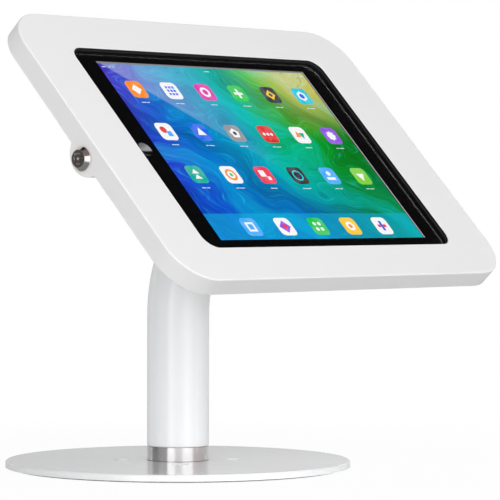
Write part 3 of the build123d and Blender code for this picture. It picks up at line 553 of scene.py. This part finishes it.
def buildWallpaper(settings):
    # Slow colour from violet through cyan to green, with broad soft folds and fine strands
    group, given, result = newGroup(
        "wallpaper",
        [("Place", "NodeSocketVector", (0, 0, 0))],
        [("Colour", "NodeSocketColor")],
    )
    parts = addNode(group, "ShaderNodeSeparateXYZ", {0: given["Place"]}).outputs
    drift = addNoise(group, given["Place"], settings["driftScale"])
    across = addMath(group, "ADD", parts["X"], addSwing(group, drift, settings["driftShare"]))
    share = addRange(group, across, -1.0, 1.0)
    top, middle, bottom = (
        addRamp(group, share, settings[level]) for level in ("top", "middle", "bottom")
    )
    upper = addRange(group, parts["Y"], *settings["topRange"], smooth=True)
    lower = addRange(group, parts["Y"], *settings["bottomRange"], smooth=True)
    colour = addMix(group, upper, middle, top)
    colour = addMix(group, lower, colour, bottom)
    # Folds run down from the upper right, bent by a slow field
    sloped = addMath(group, "MULTIPLY", parts["Y"], settings["foldSlope"])
    bent = addMath(group, "ADD", sloped, addMath(group, "MULTIPLY", drift, settings["foldBend"]))
    along = addMath(group, "ADD", parts["X"], bent)
    wave = addMath(group, "SINE", addMath(group, "MULTIPLY", along, settings["foldPitch"]))
    bright = addRange(group, wave, *settings["brightRange"], smooth=True)
    colour = addMix(group, bright, colour, settings["brightTone"], "SCREEN")
    deep = addRange(group, wave, *settings["deepRange"], smooth=True)
    colour = addMix(group, deep, colour, settings["deepTone"], "MULTIPLY")
    # Strands follow the folds
    flow = addNode(group, "ShaderNodeCombineXYZ", {"X": along, "Y": parts["Y"], "Z": drift})
    squeezed = addNode(
        group, "ShaderNodeVectorMath", {0: flow.outputs[0], 1: settings["strandStretch"]},
        operation="MULTIPLY",
    )
    strands = addNoise(
        group, squeezed.outputs[0], 1.0, settings["strandDetail"], settings["strandRoughness"]
    )
    light = addRange(group, strands, *settings["lightRange"], smooth=True)
    colour = addMix(group, light, colour, settings["lightTone"], "SCREEN")
    dark = addRange(group, strands, *settings["darkRange"], smooth=True)
    colour = addMix(group, dark, colour, settings["darkTone"], "MULTIPLY")
    group.links.new(colour, result["Colour"])
    return group


def makeDisplay(settings):
    material, tree, shader = newFinish("display", settings["plain"])
    middle = headCentre - screenUp * settings["drop"]
    place = onScreen(tree, middle, (settings["halfWidth"], settings["halfHeight"], 1))
    parts = addNode(tree, "ShaderNodeSeparateXYZ", {0: place}).outputs
    colour = useGroup(tree, buildWallpaper(wallpaperSettings), {"Place": place})["Colour"]
    # A painted glare: a light wedge of painted reflection lies over the upper left, above a slanting edge
    slant = addMath(tree, "MULTIPLY_ADD", parts["X"], settings["glareSlope"], parts["Y"])
    paintedGlare = addRange(tree, slant, *settings["glareRange"], smooth=True)
    glareFade = addRange(tree, parts["X"], *settings["fadeRange"], smooth=True)
    colour = addMix(tree, addMath(tree, "MULTIPLY", paintedGlare, glareFade), colour, (1, 1, 1, 1))
    dockEdge = (settings["dockTop"] + settings["drop"]) / settings["halfHeight"]
    softness = settings["dockSoftness"]
    dock = addRange(
        tree, parts["Y"], dockEdge + softness, dockEdge - softness, 0.0, settings["dockShare"]
    )
    colour = addMix(tree, dock, colour, settings["dockTone"])
    # A grey strip ends the lit part at its top, and a dark line and a pale one on its right: the LCD's frame and
    # black matrix, drawn into the screen's glow, so the frame's grey is painted light
    stripEdge = 1 - settings["stripHeight"] / settings["halfHeight"]
    lineWidth = settings["sideLine"] / settings["halfWidth"]
    for axis, edge, ink in (
        ("Y", stripEdge, "stripTone"), ("X", 1 - 2 * lineWidth, "darkLineTone"),
        ("X", 1 - lineWidth, "paleLineTone"),
    ):
        beyond = addMath(tree, "GREATER_THAN", parts[axis], edge)
        colour = addMix(tree, beyond, colour, settings[ink])
    tree.links.new(colour, shader.inputs["Emission Color"])
    shader.inputs["Emission Strength"].default_value = settings["glowStrength"]
    return material


finishes = {}
finishes.update(makeFinishes(coatEffect, paintFinishes))
finishes.update(makeFinishes(turnedEffect, metalFinishes))
finishes.update(makeFinishes(mouldedEffect, mouldedFinishes))
finishes["cover_glass"] = makeCoverGlass(glassSettings)
finishes["grey_button"] = makeHomeButton(homeSettings)
finishes["display"] = makeDisplay(pictureSettings)
print("finishes built:", len(finishes))

# Every CAD node gets the finish of its slot
for part in frame["record"]["subparts"]:
    mesh = nodes[part["node"]].data
    mesh.materials.clear()
    mesh.materials.append(finishes[part["material_slot"]])


# The black print lies on the glass's underside in the CAD. It is drawn in a hair here, so that
# the two faces do not share one plane
printSettings = {"weld": 0.000001, "drawIn": -0.00003}


def drawInPrint(settings):
    printed = nodes["screen_frame"]
    weld = printed.modifiers.new("weld", "WELD")
    weld.merge_threshold = settings["weld"]
    shrink = printed.modifiers.new("drawIn", "DISPLACE")
    shrink.mid_level = 0.0
    shrink.strength = settings["drawIn"]


drawInPrint(printSettings)


# Modelling helpers, for pieces that are modelled flat and then set on the head
def deselectAll():
    bpy.ops.object.select_all(action="DESELECT")


def setOnHead(piece):
    piece.data.transform(headMatrix)


def joinPieces(pieces, name):
    deselectAll()
    for piece in pieces:
        piece.select_set(True)
    bpy.context.view_layer.objects.active = pieces[0]
    bpy.ops.object.join()
    joined = bpy.context.view_layer.objects.active
    joined.name = name
    return joined


def applyPlace(piece):
    deselectAll()
    piece.select_set(True)
    bpy.context.view_layer.objects.active = piece
    bpy.ops.object.transform_apply(location=True, rotation=True, scale=True)


def paintAll(piece, colour):
    attribute = piece.data.color_attributes.new(
        name="tileColour", type="FLOAT_COLOR", domain="CORNER"
    )
    for item in attribute.data:
        item.color = colour


shapeSettings = {"square": 4, "cornerSegments": 5}


def flatShape(sides, place, size, level, depth, colour, turn=0.0, rounding=0.0):
    # A thin flat shape: a disc or polygon of a size, with its corners rounded if asked
    deselectAll()
    bpy.ops.mesh.primitive_circle_add(
        vertices=sides, radius=0.5, fill_type="NGON", location=(place[0], place[1], level),
        rotation=(0, 0, turn),
    )
    shape = bpy.context.active_object
    if sides == shapeSettings["square"]:
        # From a diamond one wide, corner to corner, to a square one wide across its sides
        shape.data.transform(Matrix.Rotation(math.pi / 4, 4, "Z") @ Matrix.Scale(math.sqrt(2), 4))
    shape.data.transform(Matrix.Diagonal((size[0], size[1], 1, 1)))
    bpy.ops.object.mode_set(mode="EDIT")
    bpy.ops.mesh.select_all(action="SELECT")
    if rounding:
        bpy.ops.mesh.bevel(
            offset=rounding, segments=shapeSettings["cornerSegments"], affect="VERTICES"
        )
        bpy.ops.mesh.select_all(action="SELECT")
    bpy.ops.mesh.extrude_region_move(TRANSFORM_OT_translate={"value": (0, 0, depth)})
    bpy.ops.mesh.select_all(action="SELECT")
    bpy.ops.mesh.normals_make_consistent(inside=False)
    bpy.ops.object.mode_set(mode="OBJECT")
    applyPlace(shape)
    paintAll(shape, colour)
    return shape


# Plain coloured tiles on the screen, each with a simple abstract mark
tileSettings = {
    "columns": 6, "rows": 3, "size": 0.0146, "rounding": 0.0035, "pitchAcross": 0.0316,
    "pitchUp": 0.0362, "top": 0.0515, "depth": 0.00003, "markDepth": 0.00002,
    "dockPitch": 0.0316, "dockUp": -0.0655, "captionDrop": 0.0112, "captionHeight": 0.0006,
    "captionBars": ((0.0040, 0.0028), (0.0030, 0.0042), (0.0062,), (0.0022, 0.0050)),
    "lift": 0.00001, "mottleScale": 160.0, "mottleRange": (0.35, 0.65, 0.0, 0.08),
    "plain": {"Base Color": (0.004, 0.004, 0.004, 1), "Roughness": 0.3, "Specular IOR Level": 0.05},
}
inks = {
    "white": tone(250, 250, 250), "black": tone(26, 26, 30), "slate": tone(62, 64, 70),
    "grey": tone(152, 154, 160), "red": tone(232, 40, 44), "rose": tone(246, 58, 92),
    "orange": tone(255, 140, 24), "yellow": tone(252, 206, 44), "lime": tone(130, 214, 60),
    "green": tone(26, 204, 84), "teal": tone(0, 176, 156), "cyan": tone(24, 208, 232),
    "sky": tone(70, 176, 255), "blue": tone(20, 104, 240), "violet": tone(150, 84, 232),
    "magenta": tone(232, 56, 178), "caption": tone(206, 236, 240),
}
# Sides and turn of each flat shape
flatKinds = {
    "disc": (32, 0.0), "square": (4, 0.0), "diamond": (4, math.pi / 4), "peak": (3, 0.0),
    "valley": (3, math.pi), "hexagon": (6, 0.0), "pentagon": (5, 0.0),
}
# A tile's ground, then its marks: kind, place and size as shares of the tile, and ink
tileDesigns = [
    ("orange", [("diamond", 0, 0, 0.42, 0.42, "white")]),
    ("white", [("square", x, y, 0.13, 0.13, "blue")
               for x in (-0.2, 0, 0.2) for y in (-0.2, 0, 0.2)]),
    ("magenta", [("disc", 0, 0, 0.58, 0.58, "white"), ("disc", 0, 0, 0.32, 0.32, "magenta")]),
    ("green", [("square", 0, 0, 0.56, 0.14, "white"), ("square", 0, 0, 0.14, 0.56, "white")]),
    ("slate", [("diamond", 0, 0, 0.44, 0.44, "yellow"), ("diamond", 0, 0, 0.2, 0.2, "slate")]),
    ("cyan", [("hexagon", 0, 0, 0.62, 0.62, "white"), ("hexagon", 0, 0, 0.34, 0.34, "blue")]),
    ("white", [("disc", -0.12, 0.1, 0.38, 0.38, "red"), ("square", 0.14, -0.12, 0.3, 0.3, "sky")]),
    ("blue", [("peak", 0, 0, 0.6, 0.6, "white")]),
    ("grey", [("pentagon", 0, 0, 0.6, 0.6, "white"), ("disc", 0, 0, 0.22, 0.22, "slate")]),
    ("red", [("disc", x, 0, 0.17, 0.17, "white") for x in (-0.24, 0, 0.24)]),
    ("white", [("peak", -0.12, 0, 0.42, 0.5, "orange"), ("valley", 0.14, 0, 0.42, 0.5, "teal")]),
    ("violet", [("square", 0, 0, 0.42, 0.42, "white"), ("diamond", 0, 0, 0.42, 0.42, "white")]),
    ("teal", [("peak", 0, 0.14, 0.5, 0.34, "white"), ("peak", 0, -0.16, 0.5, 0.34, "white")]),
    ("white", [("disc", 0, 0, 0.66, 0.66, "orange"), ("disc", 0, 0, 0.42, 0.42, "white"),
               ("disc", 0, 0, 0.2, 0.2, "green")]),
    ("rose", [("square", -0.1, 0.1, 0.36, 0.36, "white"),
              ("square", 0.18, -0.18, 0.2, 0.2, "white")]),
    ("black", [("disc", 0, 0, 0.62, 0.62, "cyan"), ("disc", 0, 0, 0.46, 0.46, "black")]),
    ("sky", [("square", 0, -0.16, 0.56, 0.16, "white"), ("disc", 0, 0.14, 0.26, 0.26, "white")]),
    ("lime", [("valley", 0, 0, 0.6, 0.6, "white")]),
    ("sky", [("square", 0, 0, 0.52, 0.52, "white"), ("square", 0, 0, 0.3, 0.3, "sky")]),
    ("white", [("diamond", 0, 0, 0.5, 0.5, "violet"), ("diamond", 0, 0, 0.24, 0.24, "rose")]),
    ("green", [("disc", x, y, 0.2, 0.2, "white") for x in (-0.15, 0.15) for y in (-0.15, 0.15)]),
    ("yellow", [("disc", 0, 0, 0.52, 0.52, "white"), ("disc", 0, 0, 0.24, 0.24, "orange")]),
    ("white", [("square", 0, 0, 0.56, 0.16, "rose"), ("square", 0, 0, 0.16, 0.56, "blue")]),
]
# Short bars along the display's upper edge: place across and width
statusBars = ((-0.0945, 0.0034), (-0.0895, 0.0022), (-0.0862, 0.0016), (0.0, 0.0048),
              (0.0885, 0.0024), (0.0935, 0.0046))


def makeTile(settings, place, design, level):
    ground, marks = design
    size = settings["size"]
    made = [flatShape(
        shapeSettings["square"], place, (size, size), level, settings["depth"], inks[ground],
        rounding=settings["rounding"],
    )]
    top = level + settings["depth"]
    for index, (kind, across, up, width, height, ink) in enumerate(marks):
        sides, turn = flatKinds[kind]
        markPlace = (place[0] + across * size, place[1] + up * size)
        depth = settings["markDepth"] * (index + 1)
        made.append(flatShape(
            sides, markPlace, (width * size, height * size), top, depth, inks[ink], turn,
        ))
    return made


def makeBar(settings, place, width, level):
    return flatShape(
        shapeSettings["square"], place, (width, settings["captionHeight"]), level,
        settings["depth"], inks["caption"],
    )


def makeCaption(settings, place, widths, level):
    # A caption stands as one or two plain bars, side by side
    gap = settings["captionHeight"]
    reach = sum(widths) + gap * (len(widths) - 1)
    left = place[0] - reach / 2
    made = []
    for width in widths:
        middle = (left + width / 2, place[1] - settings["captionDrop"])
        made.append(makeBar(settings, middle, width, level))
        left += width + gap
    return made


def makeTiles(settings, level):
    made = []
    bars = settings["captionBars"]
    onPage = settings["rows"] * settings["columns"]
    docked = len(tileDesigns) - onPage
    for index, design in enumerate(tileDesigns):
        row, column = divmod(index, settings["columns"])
        across = (column - (settings["columns"] - 1) / 2) * settings["pitchAcross"]
        up = settings["top"] - row * settings["pitchUp"]
        if index >= onPage:
            across = (index - onPage - (docked - 1) / 2) * settings["dockPitch"]
            up = settings["dockUp"] + pictureSettings["drop"]
        place = (across, up - pictureSettings["drop"])
        made += makeTile(settings, place, design, level)
        if index < onPage:
            made += makeCaption(settings, place, bars[index % len(bars)], level)
    for across, width in statusBars:
        made.append(makeBar(settings, (across, pictureSettings["statusUp"]), width, level))
    return joinPieces(made, "screenTiles")


def makeTileInk(settings):
    # Backlit colour from the shapes' own attribute, with a faint mottle
    material, tree, shader = newFinish("tileInk", settings["plain"])
    colour = addNode(tree, "ShaderNodeAttribute", attribute_name="tileColour").outputs["Color"]
    mottled = addNoise(tree, objectCoordinates(tree), settings["mottleScale"])
    amount = addRange(tree, mottled, *settings["mottleRange"], smooth=True)
    tree.links.new(addMix(tree, amount, colour, (1, 1, 1, 1)), shader.inputs["Emission Color"])
    shader.inputs["Emission Strength"].default_value = pictureSettings["glowStrength"]
    return material


screenTiles = makeTiles(tileSettings, frontLevel("display_panel") + tileSettings["lift"])
screenTiles.data.materials.clear()
screenTiles.data.materials.append(makeTileInk(tileSettings))
setOnHead(screenTiles)
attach(screenTiles, "head")
print("screen tiles:", len(screenTiles.data.polygons), "faces")

# Fine edges round the lock's face, its keyway and its post, and a thin black ring at the foot of
# the polished ring that paints the shade in the joint there. An edge is a radius, a thickness and how far it is
# sunk
edgeSettings = {
    "facets": 48, "profile": 8,
    "lockEdges": ((0.0053, 0.00014, 0.0), (0.0036, 0.00026, 0.0)),
    "postEdges": ((0.00246, 0.0003, 0.0002), (0.0013, 0.00014, 0.0002)),
    "jointShadeThickness": 0.00022, "jointShadeInset": 0.0001,
}


def makeRing(radius, thickness, place, turn, settings):
    deselectAll()
    bpy.ops.mesh.primitive_torus_add(
        major_segments=settings["facets"], minor_segments=settings["profile"],
        major_radius=radius, minor_radius=thickness, location=place, rotation=turn,
    )
    ring = bpy.context.active_object
    bpy.ops.object.shade_smooth()
    applyPlace(ring)
    return ring


def makeLockRings(edges, name, body, settings):
    lock = jointNamed("lock_turn")["pos_m"]
    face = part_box("lock_body")[0][0]
    made = []
    for radius, thickness, sink in edges:
        place = (face + sink + thickness, lock[1], lock[2])
        made.append(makeRing(radius, thickness, place, (0, math.pi / 2, 0), settings))
    rings = joinPieces(made, name)
    rings.data.materials.append(finishes["dark_nickel"])
    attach(rings, body)
    return rings


def makeFootJointShade(settings):
    low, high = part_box("base_plate")
    spigotLow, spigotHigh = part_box("swivel_spigot")
    radius = (spigotHigh[0] - spigotLow[0]) / 2 - settings["jointShadeInset"]
    level = high[2]
    # A thin black ring in the joint under the polished ring: painted shade for the joint line
    jointShade = makeRing(radius, settings["jointShadeThickness"], (0, 0, level), (0, 0, 0), settings)
    jointShade.name = "footJointShade"
    jointShade.data.materials.append(finishes["black_rubber"])
    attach(jointShade, "base")
    return jointShade


makeLockRings(edgeSettings["lockEdges"], "lockFaceEdges", "cover", edgeSettings)
makeLockRings(edgeSettings["postEdges"], "lockPostEdges", "lock_core", edgeSettings)
makeFootJointShade(edgeSettings)
print("edges and seam ready")

# Camera, from the photograph's fitted view
cameraSettings = {
    "imageWidth": 500, "focalPixels": 2988.064, "sensorWidth": 36.0,
    "azimuth": -48.944, "pitch": 0.967, "roll": 0.106,
    "distance": 1.924457, "across": 0.046179, "up": 0.140129, "clip": (0.05, 60.0),
}


def makeCamera(settings):
    azimuth, pitch, roll = (math.radians(settings[name]) for name in ("azimuth", "pitch", "roll"))
    back = Vector((
        math.sin(azimuth) * math.cos(pitch), -math.cos(azimuth) * math.cos(pitch), math.sin(pitch),
    ))
    level = (-back).cross(Vector((0, 0, 1))).normalized()
    upright = level.cross(-back)
    right = level * math.cos(roll) + upright * math.sin(roll)
    up = upright * math.cos(roll) - level * math.sin(roll)
    target = level * settings["across"] + Vector((0, 0, settings["up"]))
    data = bpy.data.cameras.new("photoCamera")
    data.sensor_width = settings["sensorWidth"]
    data.lens = settings["focalPixels"] * settings["sensorWidth"] / settings["imageWidth"]
    data.clip_start, data.clip_end = settings["clip"]
    camera = bpy.data.objects.new("photoCamera", data)
    matrix = Matrix((right, up, back)).transposed().to_4x4()
    matrix.translation = target + back * settings["distance"]
    camera.matrix_world = matrix
    bpy.context.scene.collection.objects.link(camera)
    bpy.context.scene.camera = camera
    return camera


makeCamera(cameraSettings)


# What polished faces see level with the object. Places run round the studio from 0 to 1
bandSettings = {
    "greys": (
        (0.0, 0.5), (0.02, 1.5), (0.07, 1.5), (0.1, 0.85), (0.15, 0.95), (0.18, 1.5),
        (0.26, 1.45), (0.29, 0.6), (0.42, 0.46), (0.52, 0.64), (0.6, 0.7), (0.63, 0.6),
        (0.7, 0.5), (0.74, 0.42), (0.8, 0.5), (0.82, 0.1), (0.88, 0.08), (0.94, 0.24),
    ),
    "warmRange": (0.28, 0.3), "coolRange": (0.36, 0.4), "warmTone": (1.0, 0.86, 0.86, 1),
    "strips": (0.045, 0.212, 0.322), "stripHalf": 0.007, "stripReach": 0.018,
    "calmTone": (0.4, 0.4, 0.4, 1),
}


def greyStops(levels):
    return [(place, (level, level, level, 1)) for place, level in levels]


def buildStudioBands(settings):
    # Pale and grey flags in turn, and a few narrow soft lights.
    # Calm dims the flags for the cover glass, which would show them over the screen
    group, given, result = newGroup(
        "studioBands",
        [("Direction", "NodeSocketVector", (1, 0, 0)), ("Calm", "NodeSocketFloat", 0.0)],
        [("Colour", "NodeSocketColor"), ("Strips", "NodeSocketColor")],
    )
    parts = addNode(group, "ShaderNodeSeparateXYZ", {0: given["Direction"]}).outputs
    azimuth = addMath(group, "ARCTAN2", parts["Y"], parts["X"])
    share = addRange(group, azimuth, -math.pi, math.pi)
    bands = addRamp(group, share, greyStops(settings["greys"]))
    warm = addRange(group, share, *settings["warmRange"])
    cool = addRange(group, share, *settings["coolRange"])
    tint = addMath(group, "SUBTRACT", warm, cool)
    warmed = addMix(group, 1.0, bands, settings["warmTone"], "MULTIPLY")
    coloured = addMix(group, tint, bands, warmed)
    half, reach = settings["stripHalf"], settings["stripReach"]
    lights = [(0.0, 0.0)]
    for middle in settings["strips"]:
        lights += [(middle - reach, 0.0), (middle - half, 1.0)]
        lights += [(middle + half, 1.0), (middle + reach, 0.0)]
    group.links.new(addRamp(group, share, greyStops(lights)), result["Strips"])
    calmer = addMix(group, 1.0, coloured, settings["calmTone"], "MULTIPLY")
    group.links.new(addMix(group, given["Calm"], coloured, calmer), result["Colour"])
    return group


studioBands = buildStudioBands(bandSettings)

# Studio: a pale floor, four soft lamps and a sky that is white to the camera. The ranges of
# the sky run up from -1 below the object to 1 overhead
studioSettings = {
    "floorSize": 24.0, "floorLevel": -0.0001, "floorColour": tone(222, 222, 222),
    "floorWhiteness": 0.965, "fadeRange": (0.2, 0.5), "skyLevel": 0.41,
    "floorMirrored": (0.2, 0.23, 0.215, 1), "mirroredRange": (-0.2, -0.6),
    "stripRising": (-0.26, -0.18), "stripFalling": (-0.07, -0.03), "stripGlow": 1.4,
    "overheadRange": (0.28, 0.5), "overheadTone": (0.015, 0.015, 0.016, 1),
    "cardToward": (-0.76, -0.65), "cardRange": (-0.05, 0.3), "cardTone": (0.2, 0.165, 0.16, 1),
    "lamps": (
        ("keyLamp", (-0.2, -1.9, 1.9), (1.2, 1.2), 17.0),
        ("fillLamp", (-2.1, -1.6, 0.5), (1.8, 1.8), 43.5),
        ("sideLamp", (1.2, -2.1, 0.35), (1.2, 0.5), 10.5),
        ("rimLamp", (0.1, 2.4, 0.6), (1.6, 1.0), 14.0),
    ),
    "lampTarget": (0.0, -0.05, 0.15),
}


def makeFloor(settings):
    deselectAll()
    bpy.ops.mesh.primitive_plane_add(
        size=settings["floorSize"], location=(0, 0, settings["floorLevel"])
    )
    floor = bpy.context.active_object
    floor.name = "studioFloor"
    material = bpy.data.materials.new("floorPaper")
    material.use_nodes = True
    tree = material.node_tree
    tree.nodes.remove(tree.nodes["Principled BSDF"])
    paper = addNode(tree, "ShaderNodeBsdfDiffuse", {"Color": settings["floorColour"]})
    bright = addNode(tree, "ShaderNodeEmission", {"Color": (1, 1, 1, 1), "Strength": 1.0})
    rays = addNode(tree, "ShaderNodeLightPath").outputs
    distance = addNode(
        tree, "ShaderNodeVectorMath", {0: objectCoordinates(tree)}, operation="LENGTH"
    ).outputs["Value"]
    white = addRange(
        tree, distance, *settings["fadeRange"], settings["floorWhiteness"], 1.0, smooth=True
    )
    amount = addMath(tree, "MULTIPLY", rays["Is Camera Ray"], white)
    mixed = addNode(
        tree, "ShaderNodeMixShader", {0: amount, 1: paper.outputs[0], 2: bright.outputs[0]}
    )
    tree.links.new(mixed.outputs[0], tree.nodes["Material Output"].inputs["Surface"])
    floor.data.materials.append(material)
    floor.visible_glossy = False
    floor.visible_transmission = False
    return floor


def makeSky(settings):
    # White to the camera only. Polished faces see the bands level with the object, a floor
    # below them and a dark ceiling above
    world = bpy.data.worlds.new("studioSky")
    bpy.context.scene.world = world
    world.use_nodes = True
    tree = world.node_tree
    background = tree.nodes["Background"]
    rays = addNode(tree, "ShaderNodeLightPath").outputs
    direction = addNode(tree, "ShaderNodeTexCoord").outputs["Generated"]
    seen = useGroup(tree, studioBands, {"Direction": direction, "Calm": rays["Is Singular Ray"]})
    parts = addNode(tree, "ShaderNodeSeparateXYZ", {0: direction}).outputs
    rising = addRange(
        tree, parts["Z"], *settings["stripRising"], 0.0, settings["stripGlow"], smooth=True
    )
    falling = addRange(tree, parts["Z"], *settings["stripFalling"], 1.0, 0.0, smooth=True)
    glow = addMath(tree, "MULTIPLY", rising, falling)
    around = addMix(tree, glow, seen["Colour"], seen["Strips"], "ADD")
    overhead = addRange(tree, parts["Z"], *settings["overheadRange"], smooth=True)
    # A brown card stands overhead on the front left
    cardX, cardY = settings["cardToward"]
    towardY = addMath(tree, "MULTIPLY", parts["Y"], cardY)
    toward = addMath(tree, "MULTIPLY_ADD", parts["X"], cardX, towardY)
    card = addRange(tree, toward, *settings["cardRange"], smooth=True)
    above = addMix(tree, card, settings["overheadTone"], settings["cardTone"])
    studio = addMix(tree, overhead, around, above)
    below = addRange(tree, parts["Z"], *settings["mirroredRange"], smooth=True)
    studio = addMix(tree, below, studio, settings["floorMirrored"])
    soft = settings["skyLevel"]
    sharp = addMath(tree, "MAXIMUM", rays["Is Glossy Ray"], rays["Is Transmission Ray"])
    lit = addMix(tree, sharp, (soft, soft, soft, 1), studio)
    shown = addMix(tree, rays["Is Camera Ray"], lit, (1, 1, 1, 1))
    tree.links.new(shown, background.inputs["Color"])
    background.inputs["Strength"].default_value = 1.0


def makeLamps(settings):
    target = Vector(settings["lampTarget"])
    for name, place, size, power in settings["lamps"]:
        data = bpy.data.lights.new(name, "AREA")
        data.shape = "RECTANGLE"
        data.size, data.size_y = size
        data.energy = power
        lamp = bpy.data.objects.new(name, data)
        lamp.location = place
        lamp.rotation_mode = "QUATERNION"
        lamp.rotation_quaternion = (target - Vector(place)).to_track_quat("-Z", "Y")
        lamp.visible_glossy = False
        lamp.visible_transmission = False
        bpy.context.scene.collection.objects.link(lamp)


makeFloor(studioSettings)
makeSky(studioSettings)
makeLamps(studioSettings)
bpy.context.scene.view_settings.view_transform = "Standard"
print("studio ready")
